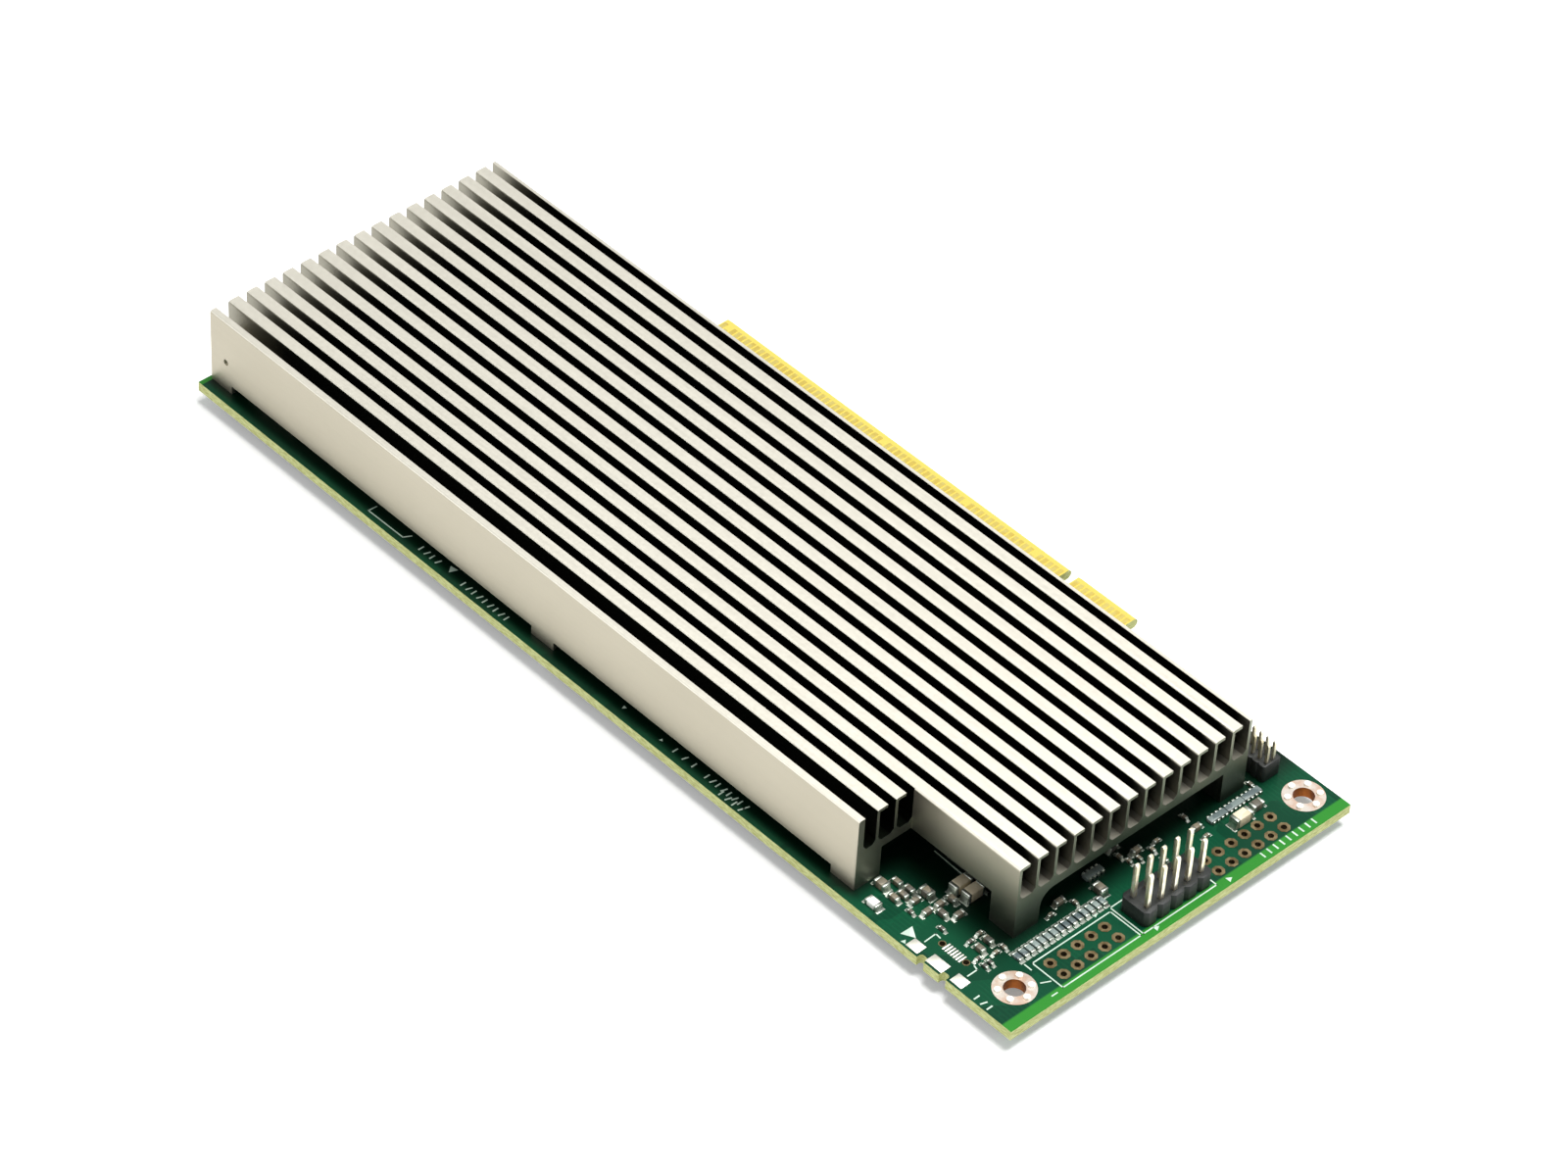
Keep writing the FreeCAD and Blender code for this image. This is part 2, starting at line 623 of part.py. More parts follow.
def makeHeatSink():
    body = newBody("heat_sink", boardTop)
    base = rectangle(body, "base_plan", "XY", (sinkLeft, sinkNear, "sizes.base_gap"),
                     sinkLength, sinkWidth)
    pad(body, base, "sizes.base_thickness", "base")
    top = "(sizes.sink_height - %s)" % baseTop
    root = "sizes.root_bevel"
    sunk = "-sizes.base_thickness / 2"

    outer = "sizes.outer_wall"
    skirt = "(sizes.skirt_gap - %s)" % baseTop
    wall = outline(body, "near_wall_profile", "YZ", (sinkLeft, sinkNear, baseTop),
                   [("0", skirt), (outer, skirt), (outer, sunk), (outer + " + " + root, sunk),
                    (outer + " + " + root, "0"), (outer, root), (outer, top),
                    ("sizes.edge_round", top), ("0", top + " - sizes.edge_round")],
                   {7: ("sizes.edge_round", 1)})
    pad(body, wall, sinkLength, "near_wall")

    lip = top + " - sizes.flange_thickness"
    fin = outline(body, "fin_profile", "YZ", (sinkLeft, sinkNear + " + sizes.fin_pitch", baseTop),
                  [("-" + root, sunk), ("sizes.fin_wall + " + root, sunk),
                   ("sizes.fin_wall + " + root, "0"), ("sizes.fin_wall", root),
                   ("sizes.fin_wall", lip), ("sizes.flange_width", lip),
                   ("sizes.flange_width", top), ("sizes.edge_round", top),
                   ("0", top + " - sizes.edge_round"), ("0", root), ("-" + root, "0")],
                  {7: ("sizes.edge_round", 1)})
    first = pad(body, fin, sinkLength, "capped_fin")
    repeat(body, [first], "capped_fins", (fin, "H_Axis", "sizes.fin_count", "sizes.fin_pitch"))

    last = outline(body, "far_wall_profile", "YZ", (sinkLeft, sinkFar + " - sizes.fin_wall", baseTop),
                   [("-" + root, sunk), ("sizes.fin_wall", sunk), ("sizes.fin_wall", top),
                    ("0", top), ("0", root), ("-" + root, "0")])
    pad(body, last, sinkLength, "far_wall")

    step = rectangle(body, "step_plan", "XY", (stepFront, "0", "0"),
                     "sizes.step_inset", sinkNear + " + " + stepDepth)
    cut(body, step, "front_step", forward=True)

    for number, (x, y) in enumerate(footPlaces, start=1):
        plan = rectangle(body, "foot_%d_plan" % number, "XY", (x, y, "0"),
                         "sizes.foot_size", "sizes.foot_size")
        pad(body, plan, "sizes.base_gap + sizes.base_thickness / 2", "foot_%d" % number)
    arch = "sizes.arch_round"
    gap = "sizes.base_gap"
    corner = sinkNear + " + " + stepDepth + " + sizes.foot_size"
    gusset = outline(body, "arch_profile", "YZ", (sinkFront + " - sizes.foot_size", corner, "0"),
                     [("0", gap + " - " + arch), (arch, gap), (arch, gap + " - " + sunk),
                      (sunk, gap + " - " + sunk), (sunk, gap + " - " + arch)],
                     {0: (arch, -1)})
    pad(body, gusset, "sizes.foot_size", "arch")

    half = "sizes.lid_size / 2"
    pedestal = rectangle(body, "pedestal_plan", "XY",
                         (processorMiddle + " - " + half, sinkMiddle + " - " + half, pedestalBottom),
                         "sizes.lid_size", "sizes.lid_size")
    pad(body, pedestal, "%s - %s + sizes.base_thickness / 2" % (gap, pedestalBottom), "pedestal")

    for number, centre in enumerate(footCentres, start=1):
        name = "threaded_hole_%d" % number
        hole = figures(body, name + "_plan", ("0", "0", "0"), [centre],
                       ["sizes.screw_radius + sizes.thread_clearance"], screwSides)
        cut(body, hole, name, "sizes.screw_reach + sizes.thread_runout", forward=True)

    mark = newSketch(body, "dimple_plan", "XZ", sinkLeft + " + sizes.dimple_inset", sinkNear,
                     "sizes.dimple_height")
    size = mark.evalExpression("sizes.dimple_radius")
    mark.addGeometry(Part.Circle(Vector(0, 0, 0), Vector(0, 0, 1), size), False)
    bindAll(mark, [Sketcher.Constraint("Coincident", 0, 3, -1, 1)],
            [(Sketcher.Constraint("Radius", 0, size), "sizes.dimple_radius")])
    cut(body, mark, "dimple", "sizes.dimple_depth")


def crossLoop(sketch):
    """A cross drive recess round the sketch's own origin."""
    arm = "sizes.recess_length / 2"
    half = "sizes.recess_width / 2"
    turns = [(arm, "-" + half), (arm, half), (half, half), (half, arm), ("-" + half, arm),
             ("-" + half, half), ("-" + arm, half), ("-" + arm, "-" + half),
             ("-" + half, "-" + half), ("-" + half, "-" + arm), (half, "-" + arm),
             (half, "-" + half)]
    addLoop(sketch, turns, {})


def makeScrews():
    """Cheese head screws driven from below, through the board, into the heat sink's feet."""
    body = newBody("heat_sink_screws", boardTop)
    under = "-sizes.board_thickness"
    for number, (x, y) in enumerate(footCentres, start=1):
        shank = figures(body, "shank_%d_plan" % number, (x, y, under), here, ["sizes.screw_radius"],
                        screwSides)
        pad(body, shank, "sizes.board_thickness + sizes.screw_reach", "shank_%d" % number)
        head = discs(body, "head_%d_plan" % number, (x, y, under), here, "sizes.screw_head_radius")
        pad(body, head, "sizes.screw_head_height", "head_%d" % number, downward=True)
        recess = newSketch(body, "recess_%d_plan" % number, "XY", x, y,
                           under + " - sizes.screw_head_height")
        crossLoop(recess)
        cut(body, recess, "recess_%d" % number, "sizes.recess_depth", forward=True)


# ---- processor, memory and power parts, under the heat sink --------------------------------

def plate(label, size, low, thickness, corner=None):
    """A square plate centred over the processor."""
    body = newBody(label, boardTop)
    half = "(%s / 2)" % size
    at = (processorMiddle, sinkMiddle, low)
    if corner is None:
        plan = rectangle(body, "plan", "XY",
                         (processorMiddle + " - " + half, sinkMiddle + " - " + half, low), size, size)
    else:
        flat = "(%s - %s)" % (half, corner)
        plan = outline(body, "plan", "XY", at,
                       [("-" + flat, "-" + half), (flat, "-" + half), (half, "-" + flat),
                        (half, flat), (flat, half), ("-" + flat, half), ("-" + half, flat),
                        ("-" + half, "-" + flat)],
                       {1: (corner, 1), 3: (corner, 1), 5: (corner, 1), 7: (corner, 1)})
    pad(body, plan, thickness, "plate")


def makeMemory():
    body = newBody("memory_packages", boardTop)
    left = processorMiddle + " - sizes.memory_pitch_x / 2 - sizes.memory_width / 2"
    near = sinkMiddle + " - sizes.memory_pitch_y / 2 - sizes.memory_length / 2"
    plan = rectangle(body, "plan", "XY", (left, near, "0"), "sizes.memory_width",
                     "sizes.memory_length")
    first = pad(body, plan, "sizes.memory_height", "package")
    repeat(body, [first], "packages", (plan, "H_Axis", "2", "sizes.memory_pitch_x"),
           (plan, "V_Axis", "2", "sizes.memory_pitch_y"))


def makeInductor():
    """A flat moulded inductor with a wrapped plate at each end."""
    right = fromRight("sizes.inductor_inset")
    left = right + " - sizes.inductor_length"
    near = "sizes.inductor_near"
    body = newBody("power_inductor", boardTop)
    edge = "sizes.inductor_edge"
    wide = "sizes.inductor_width"
    tall = "sizes.inductor_height"
    profile = outline(body, "profile", "YZ", (left + " + sizes.inductor_plate", near, "0"),
                      [("0", "0"), (wide, "0"), (wide, tall + " - " + edge),
                       (wide + " - " + edge, tall), (edge, tall), ("0", tall + " - " + edge)])
    pad(body, profile, "sizes.inductor_length - 2 * sizes.inductor_plate", "moulding")
    ends = newBody("power_inductor_ends", boardTop)
    side = "(sizes.inductor_width - sizes.inductor_tongue) / 2"
    plan = rectangle(ends, "plan", "XY", (left, near + " + " + side, "0"),
                     "sizes.inductor_plate", "sizes.inductor_tongue")
    first = pad(ends, plan, "sizes.inductor_height / 2", "end")
    repeat(ends, [first], "ends", (plan, "H_Axis", "2",
                                   "(sizes.inductor_length - sizes.inductor_plate)"))


def makeRegulators():
    body = newBody("regulator_packages", boardTop)
    left = fromRight("sizes.regulator_inset")
    near = sinkMiddle + " - sizes.regulator_pitch - sizes.regulator_size / 2"
    plan = rectangle(body, "plan", "XY", (left, near, "0"), "sizes.regulator_size",
                     "sizes.regulator_size")
    first = pad(body, plan, "sizes.regulator_height", "package")
    repeat(body, [first], "packages", (plan, "V_Axis", "sizes.regulator_count",
                                       "sizes.regulator_pitch"))


# ---- headers -------------------------------------------------------------------------------

def makeHeader(label, at, pitch, columns, rows, pin, base, solder):
    """A two row pin header: base of joined segments, square pins and the solder below the board."""
    x, y = at
    half = "(%s / 2)" % pin["width"]
    body = newBody(label + "_base", boardTop)
    notch, wide, deep = base["notch"], base["wide"], base["deep"]
    low = (x + " - " + base["left"], y + " - " + base["near"], base["seat"])
    plan = outline(body, "segment_plan", "XY", low,
                   [(notch, "0"), (wide + " - " + notch, "0"), (wide, notch),
                    (wide, deep + " - " + notch), (wide + " - " + notch, deep), (notch, deep),
                    ("0", deep + " - " + notch), ("0", notch)])
    first = pad(body, plan, base["height"], "segment")
    repeat(body, [first], "segments", (plan, base["axis"], base["count"], pitch))
    slot = rectangle(body, "pin_hole_plan", "XY", (x + " - " + half, y + " - " + half, "0"),
                     pin["width"], pin["width"])
    hole = cut(body, slot, "pin_hole", forward=True)
    repeat(body, [hole], "pin_holes", (slot, "H_Axis", columns, pitch), (slot, "V_Axis", rows, pitch))

    pins = newBody(label + "_pins", boardTop)
    foot = "-sizes.board_thickness - sizes.pin_tail"
    shoulder = pin["rise"] + " - sizes.pin_point"
    flat = "(%s - sizes.pin_point_inset)" % half
    profile = outline(pins, "pin_profile", "XZ", (x, y + " + " + half, "0"),
                      [("-" + half, foot), (half, foot), (half, shoulder), (flat, pin["rise"]),
                       ("-" + flat, pin["rise"]), ("-" + half, shoulder)])
    axes = patternAxes(pins, (x, y, "0"))
    first = pad(pins, profile, pin["width"], "pin")
    repeat(pins, [first], "pins", (axes, "H_Axis", columns, pitch), (axes, "V_Axis", rows, pitch))

    joints = newBody(label + "_solder", boardTop)
    low = (x, y, solder["foot"] + " - sizes.solder_rise")
    plan = figures(joints, "joint_plan", low, here, [solder["radius"]], smallSides)
    addLoop(plan, [("-" + half, "-" + half), (half, "-" + half), (half, half), ("-" + half, half)], {})
    first = pad(joints, plan, "sizes.solder_rise", "joint")
    repeat(joints, [first], "joints", (plan, "H_Axis", columns, pitch), (plan, "V_Axis", rows, pitch))


def makeHeaders():
    makeHeader("pin_header", (headerColumns[0], "sizes.header_near"), "sizes.pin_pitch",
               "sizes.pin_rows", "sizes.header_pins",
               {"width": "sizes.pin_width", "rise": "sizes.pin_rise"},
               {"axis": "V_Axis", "count": "sizes.header_pins", "notch": "sizes.header_notch",
                "wide": "sizes.header_base_width", "deep": "sizes.pin_pitch",
                "left": "(sizes.header_base_width - sizes.pin_pitch) / 2",
                "near": "sizes.pin_pitch / 2", "height": "sizes.header_base_height",
                "seat": "sizes.plating"},
               {"foot": "-sizes.board_thickness - sizes.plating", "radius": "sizes.solder_radius"})
    makeHeader("debug_header", (fineColumn, fineRow), "sizes.fine_pitch",
               "sizes.fine_pins", "sizes.pin_rows",
               {"width": "sizes.fine_pin_width", "rise": "sizes.fine_pin_rise"},
               {"axis": "H_Axis", "count": "sizes.fine_pins", "notch": "sizes.fine_notch",
                "wide": "sizes.fine_pitch", "deep": "sizes.fine_base_width",
                "left": "sizes.fine_pitch / 2",
                "near": "(sizes.fine_base_width - sizes.fine_pitch) / 2",
                "height": "sizes.fine_base_height", "seat": "0"},
               {"foot": "-sizes.board_thickness", "radius": "sizes.fine_solder_radius"})


# ---- bare connector footprint on the plain edge --------------------------------------------

def makeFootprint():
    middle = fromRight("sizes.footprint_inset")
    body = newBody("footprint_pads", boardTop)
    for name, centre, width in (
            ("left", middle + " - sizes.footprint_pad_pitch", "sizes.footprint_pad_width"),
            ("middle", middle, "sizes.footprint_centre_width"),
            ("right", middle + " + sizes.footprint_pad_pitch", "sizes.footprint_pad_width")):
        plan = rectangle(body, name + "_pad_plan", "XY",
                         (centre + " - " + width + " / 2", "sizes.footprint_pad_near", "0"),
                         width, "sizes.footprint_pad_depth")
        pad(body, plan, "sizes.tinning", name + "_pad")
    fan = "(sizes.footprint_signals - 1) * sizes.footprint_signal_pitch / 2"
    left = middle + " - " + fan + " - sizes.footprint_signal_width / 2"
    near = "sizes.footprint_hole_near - sizes.footprint_signal_length / 2"
    plan = rectangle(body, "signal_plan", "XY", (left, near, "0"), "sizes.footprint_signal_width",
                     "sizes.footprint_signal_length")
    first = pad(body, plan, "sizes.tinning", "signal_pad")
    repeat(body, [first], "signal_pads", (plan, "H_Axis", "sizes.footprint_signals",
                                          "sizes.footprint_signal_pitch"))
    rims = newBody("footprint_hole_rims", boardTop)
    at = (footprintHoles[0][0], footprintHoles[0][1], "0")
    axes = patternAxes(rims, at)
    rings = platedHole(rims, at, "sizes.footprint_hole_radius", "sizes.footprint_land_radius")
    repeat(rims, rings, "plated_holes", (axes, "H_Axis", "2", "sizes.footprint_hole_spacing"))


# ---- small parts ---------------------------------------------------------------------------

# each chip: inset from the bracket end, place from the plain edge, lies along X or Y
chipPlaces = {
    "ceramic_capacitors": ("large_cap", [(7.4, 50.7, "Y"), (22.9, 13.1, "Y"), (20.8, 13.4, "Y")]),
    "mid_capacitors": ("mid_cap", [(7.9, 54.2, "Y"), (29.9, 5.3, "X"), (24.9, 8.8, "X"),
                                   (10.5, 26.8, "X")]),
    "small_capacitors": ("small_cap", [
        (27.1, 4.9, "X"), (28.9, 7.2, "X"), (26.7, 6.2, "X"), (26.9, 7.5, "X"), (24.9, 6.7, "Y"),
        (22.4, 6.5, "Y"), (22.3, 8.7, "Y"), (20.9, 7.8, "X"), (19.3, 9.3, "Y"), (22.0, 10.6, "X"),
        (13.5, 9.0, "X"), (13.1, 7.1, "X"), (12.4, 21.1, "Y"), (14.9, 33.6, "Y"),
        (12.5, 35.7, "Y"), (10.3, 45.0, "Y")]),
    "fine_capacitors": ("fine_cap", [
        (23.9, 4.9, "X"), (19.0, 5.9, "X"), (14.9, 7.1, "Y"), (15.2, 9.1, "Y"), (12.0, 5.7, "Y"),
        (10.5, 5.5, "X"), (10.5, 6.5, "X"), (11.3, 8.3, "Y"), (11.4, 9.8, "X"), (11.5, 18.6, "Y"),
        (11.0, 22.7, "X"), (13.3, 33.3, "X"), (11.8, 33.7, "X"), (11.3, 35.1, "X"),
        (11.3, 37.6, "X"), (12.1, 39.2, "Y"), (8.9, 37.6, "X"), (12.8, 45.3, "X"),
        (8.4, 45.0, "Y"), (11.4, 56.7, "X")]),
    "bottom_capacitors": ("small_cap", [(82.0, 22.9, "X"), (82.0, 28.9, "X"), (82.0, 34.9, "X"),
                                        (88.0, 22.9, "X"), (88.0, 28.9, "X"), (88.0, 34.9, "X"),
                                        (94.0, 22.9, "X"), (94.0, 28.9, "X"), (94.0, 34.9, "X")]),
}


def chipExtents(kind, lies, share):
    """Length, width and height of a slice of a chip, laid along X or Y."""
    width, tall = "sizes.%s_width" % kind, "sizes.%s_height" % kind
    return (share, width, tall) if lies == "X" else (width, share, tall)


def chipSlice(name, kind, place, offset, share, low="0"):
    inset, near, lies = place
    along = "(%s - sizes.%s_length / 2)" % (offset, kind)
    aside = "(-sizes.%s_width / 2)" % kind
    moves = (along, aside) if lies == "X" else (aside, along)
    middle = (fromRight("%.2f" % inset), "%.2f" % near)
    at = [spot + " + " + move for spot, move in zip(middle, moves)]
    return box(name, (at[0], at[1], low), chipExtents(kind, lies, share))


def makeChips(label, kind, places, under=False):
    """Chip parts as two groups: the bodies, and the metal caps at both ends of each."""
    length, cap = "sizes.%s_length" % kind, "sizes.%s_cap" % kind
    low = "-sizes.%s_height" % kind if under else "0"
    level = boardBottom if under else boardTop
    bodies, caps = [], []
    for number, place in enumerate(places):
        stem = "%s_%d" % (label, number)
        bodies.append(chipSlice(stem, kind, place, cap, length + " - 2 * " + cap, low))
        caps.append(chipSlice(stem + "_left", kind, place, "0", cap, low))
        caps.append(chipSlice(stem + "_right", kind, place, length + " - " + cap, cap, low))
    group(label, bodies, level)
    group(label + "_ends", caps, level)


def makeChipRow():
    """The long row beside the bare header footprint."""
    places = []
    for number in range(int(sheet.row_count)):
        places.append((sheet.row_inset, sheet.row_start + number * sheet.row_pitch, "X"))
    makeChips("row_resistors", "resistor", places)


def makeArrays():
    """Resistor arrays: a flat body with four solder tips down each long side."""
    body = newBody("resistor_arrays", boardTop)
    left = fromRight("sizes.array_inset") + " - sizes.array_width / 2"
    near = "sizes.array_near"
    plan = rectangle(body, "plan", "XY", (left + " + sizes.array_tip_reach", near, "0"),
                     "sizes.array_width - 2 * sizes.array_tip_reach", "sizes.array_length")
    first = pad(body, plan, "sizes.array_height", "array")
    repeat(body, [first], "arrays", (plan, "V_Axis", "sizes.array_count", "sizes.array_pitch"))
    lone = (fromRight("sizes.lone_array_inset") + " - sizes.array_width / 2", "sizes.lone_array_near")
    plan = rectangle(body, "lone_plan", "XY", (lone[0] + " + sizes.array_tip_reach", lone[1], "0"),
                     "sizes.array_width - 2 * sizes.array_tip_reach", "sizes.array_length")
    pad(body, plan, "sizes.array_height", "lone_array")
    tips = newBody("resistor_array_ends", boardTop)
    pitch = "(sizes.array_length / sizes.array_tips)"
    inset = "(%s - sizes.array_tip_width) / 2" % pitch
    across = "(sizes.array_width - sizes.array_tip_reach)"
    step = "sizes.array_pitch"
    places = [("tip_%d" % number, left, "%s + %d * %s" % (near, number, step))
              for number in range(int(sheet.array_count))] + [("lone_tip", lone[0], lone[1])]
    for name, x, y in places:
        plan = rectangle(tips, name + "_plan", "XY", (x, y + " + " + inset, "0"),
                         "sizes.array_tip_reach", "sizes.array_tip_width")
        tip = pad(tips, plan, "sizes.array_height", name)
        repeat(tips, [tip], name + "s", (plan, "H_Axis", "2", across),
               (plan, "V_Axis", "sizes.array_tips", pitch))


makeBoard()
makeContacts("contact_fingers_top", boardTop, False)
makeContacts("contact_fingers_bottom", boardBottom, True)
makeHeatSink()
makeScrews()
makeBracketRing("bracket_ring_near", bracketHoles[0])
makeBracketRing("bracket_ring_far", bracketHoles[1])
makeBumps("bracket_bumps_near", bracketHoles[0])
makeBumps("bracket_bumps_far", bracketHoles[1])
makeGridLands("near_grid_lands", "sizes.near_grid_start", "sizes.near_grid_holes")
makeGridLands("header_lands", "sizes.header_near", "sizes.header_pins")
makeGridLands("far_grid_lands", "sizes.far_grid_start", "sizes.far_grid_holes")
plate("processor_substrate", "sizes.processor_size", "0", "sizes.substrate_thickness")
plate("processor_lid", "sizes.lid_size", "sizes.substrate_thickness", "sizes.lid_thickness",
      "sizes.lid_round")
plate("thermal_pad", "sizes.lid_size", lidTop, "sizes.thermal_pad_thickness", "sizes.lid_round")
makeMemory()
makeInductor()
makeRegulators()
makeHeaders()
makeFootprint()
makeArrays()
makeChipRow()
for label, (kind, places) in chipPlaces.items():
    makeChips(label, kind, places, under=label.startswith("bottom"))
makeChips("status_lamp", "lamp", [(28.1, 2.1, "X")])

doc.recompute()
for thing in doc.Objects:
    if "Invalid" in thing.State or "Error" in thing.State:
        raise RuntimeError("%s failed: %s" % (thing.Name, thing.State))
os.makedirs("parts", exist_ok=True)
for part in parts:
    if part.Shape.isNull() or not part.Shape.isValid():
        raise RuntimeError(part.Label + " has no valid shape")
    part.Shape.exportStep("parts/%s.step" % part.Label)
    print("%-26s %4d solids %10.2f mm3" % (part.Label, len(part.Shape.Solids), part.Shape.Volume))
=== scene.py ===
import bpy
import bmesh
import math
from mathutils import Euler, Matrix, Vector


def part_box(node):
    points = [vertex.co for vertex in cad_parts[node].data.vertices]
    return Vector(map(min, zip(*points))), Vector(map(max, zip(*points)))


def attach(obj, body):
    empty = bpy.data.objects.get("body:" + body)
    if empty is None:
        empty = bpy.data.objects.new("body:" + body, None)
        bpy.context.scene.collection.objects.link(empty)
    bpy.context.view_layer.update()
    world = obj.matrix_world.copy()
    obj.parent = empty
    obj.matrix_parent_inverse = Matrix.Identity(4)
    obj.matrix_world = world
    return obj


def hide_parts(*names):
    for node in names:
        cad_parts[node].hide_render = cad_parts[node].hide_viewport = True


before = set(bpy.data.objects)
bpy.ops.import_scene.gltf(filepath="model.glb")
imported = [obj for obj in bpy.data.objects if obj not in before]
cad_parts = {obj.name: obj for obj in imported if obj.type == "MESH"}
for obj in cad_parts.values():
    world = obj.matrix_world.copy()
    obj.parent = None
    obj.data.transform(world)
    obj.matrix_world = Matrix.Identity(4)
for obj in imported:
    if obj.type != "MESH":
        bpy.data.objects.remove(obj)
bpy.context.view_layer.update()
mm = 0.001

board = {
    "length": 167.65,      # mm along X, left end to bracket end
    "height": 68.90,       # mm along Y, plain edge to contact edge
    "top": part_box("pcb")[1].z,
    "bottom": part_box("pcb")[0].z,
}


def deselectAll():
    if bpy.context.mode != "OBJECT":
        bpy.ops.object.mode_set(mode="OBJECT")
    bpy.ops.object.select_all(action="DESELECT")


def makeActive(piece):
    deselectAll()
    piece.select_set(True)
    bpy.context.view_layer.objects.active = piece


def settle(piece):
    makeActive(piece)
    bpy.ops.object.transform_apply(location=True, rotation=True, scale=True)
    return piece


def joined(name, pieces):
    deselectAll()
    for piece in pieces:
        piece.select_set(True)
    bpy.context.view_layer.objects.active = pieces[0]
    bpy.ops.object.join()
    result = bpy.context.view_layer.objects.active
    result.name = name
    result.data.name = name
    return settle(result)


def applyModifiers(piece):
    makeActive(piece)
    for modifier in list(piece.modifiers):
        bpy.ops.object.modifier_apply(modifier=modifier.name)


def cardPoint(fromRight, fromNear, above=0.0):
    # inset from the bracket end, place from the plain edge, height over the board's top, all in mm
    return Vector(((board["length"] / 2 - fromRight) * mm, (fromNear - board["height"] / 2) * mm,
                   board["top"] + above * mm))


# a shader socket that can be added, multiplied and compared like a number
class Socket:
    def __init__(self, owner, link):
        self.owner = owner
        self.link = link

    def sum(self, operation, first, second=None):
        values = {0: first} if second is None else {0: first, 1: second}
        return self.owner.node("ShaderNodeMath", {"operation": operation}, values)

    def __add__(self, other):
        return self.sum("ADD", self, other)

    def __radd__(self, other):
        return self.sum("ADD", other, self)

    def __sub__(self, other):
        return self.sum("SUBTRACT", self, other)

    def __rsub__(self, other):
        return self.sum("SUBTRACT", other, self)

    def __mul__(self, other):
        return self.sum("MULTIPLY", self, other)

    def __rmul__(self, other):
        return self.sum("MULTIPLY", other, self)

    def __gt__(self, other):
        return self.sum("GREATER_THAN", self, other)

    def __lt__(self, other):
        return self.sum("LESS_THAN", self, other)

    def __abs__(self):
        return self.sum("ABSOLUTE", self)


class ShaderTree:
    def __init__(self, owner, shaderName):
        owner.use_nodes = True
        self.tree = owner.node_tree
        self.shader = self.tree.nodes[shaderName]

    def feed(self, socketName, value):
        self.plug(self.shader.inputs[socketName], value)

    def plug(self, target, value):
        if isinstance(value, Socket):
            self.tree.links.new(value.link, target)
        elif target.type == "RGBA" and len(value) == 3:
            target.default_value = (*value, 1.0)
        else:
            target.default_value = value

    def node(self, kind, settings=None, inputs=None, out=0):
        made = self.tree.nodes.new(kind)
        for key, value in (settings or {}).items():
            setattr(made, key, value)
        for key, value in (inputs or {}).items():
            self.plug(made.inputs[key], value)
        return Socket(self, made.outputs[out])


class Finish(ShaderTree):
    def __init__(self, name, colour, roughness=0.5, metallic=0.0):
        self.material = bpy.data.materials.new(name)
        super().__init__(self.material, "Principled BSDF")
        self.feed("Base Color", colour)
        self.feed("Roughness", roughness)
        self.feed("Metallic", metallic)

    def place(self, scaleX=1.0, scaleY=1.0, scaleZ=1.0):
        # object coordinates in mm, stretched where a pattern needs it
        spot = self.node("ShaderNodeTexCoord", out="Object")
        return self.node("ShaderNodeMapping", {"vector_type": "POINT"},
                         {"Vector": spot, "Scale": (scaleX / mm, scaleY / mm, scaleZ / mm)})

    def evenPlace(self, scale):
        return self.place(scale, scale, scale)

    def axes(self, vector):
        return [self.node("ShaderNodeSeparateXYZ", inputs={"Vector": vector}, out=axis)
                for axis in range(3)]

    def facing(self):
        return self.axes(self.node("ShaderNodeNewGeometry", out="Normal"))

    def noise(self, vector, detail=2.0, rough=0.5):
        return self.node("ShaderNodeTexNoise", inputs={"Vector": vector, "Scale": 1.0,
                                                       "Detail": detail, "Roughness": rough})

    def blend(self, factor, first, second):
        return self.node("ShaderNodeMix", {"data_type": "RGBA"},
                         {0: factor, 6: first, 7: second}, out=2)

    def soften(self, value, low, high):
        return self.node("ShaderNodeMapRange", {"interpolation_type": "SMOOTHSTEP"},
                         {"Value": value, "From Min": low, "From Max": high})

    def bump(self, height, strength, distance):
        normal = self.node("ShaderNodeBump", inputs={"Height": height, "Strength": strength,
                                                     "Distance": distance * mm})
        self.feed("Normal", normal)


def window(value, low, high):
    return (value > low) * (value < high)


def srgb(red, green, blue):
    # a colour from 0 to 255, in the linear values that shaders take
    return tuple((part / 255 / 12.92) if part <= 10 else ((part / 255 + 0.055) / 1.055) ** 2.4
                 for part in (red, green, blue))


def boxInMm(nodeName):
    return [corner * 1000 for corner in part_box(nodeName)]


extrusion = {
    "cap": srgb(224, 221, 209),           # the flat fin tops, painted lighter than the upright faces: painted highlight
    "capShade": srgb(213, 209, 195),
    "wall": srgb(182, 176, 159),          # upright faces, painted darker than the tops: painted shade
    "wallShade": srgb(171, 165, 148),
    "shadedEndFace": srgb(150, 154, 138),       # faces towards the bracket end, painted darker: painted shade
    "paintedLowShade": srgb(58, 70, 60),          # painted shade on the feet and step, close to the board
    "channel": srgb(16, 20, 14),          # painted shade far down between the fins
    # the painted channel shade lightens to this at the open ends
    "channelEnd": srgb(150, 147, 134),
    "channelTop": 0.12,      # mm below the fin tops where the painted channel shade begins
    "channelFloor": 5.4,     # mm from the feet up to the channels
    "channelStart": 1.0,     # mm from the plain end to where the painted channel shade begins to darken
    "channelFade": 13.0,     # mm over which it does
    "mouthFade": 3.0,        # and the same at the bracket end
    "nearWall": 1.3,         # mm of near side wall that the painted channel shade leaves out
    "farWall": 0.1,
    "stepLength": 19.9,      # mm that the front step takes off the length
    "stepDepth": 10.0,       # and off the width
    "lowWallFrom": 1.0,      # mm below the fin tops where the painted shade on the step's side starts
    "lowWallTo": 2.0,        # mm over the feet where it is darkest
    "lowWallShare": 0.9,
    "diePull": 0.02,         # how far the die lines are drawn out along the bar
}


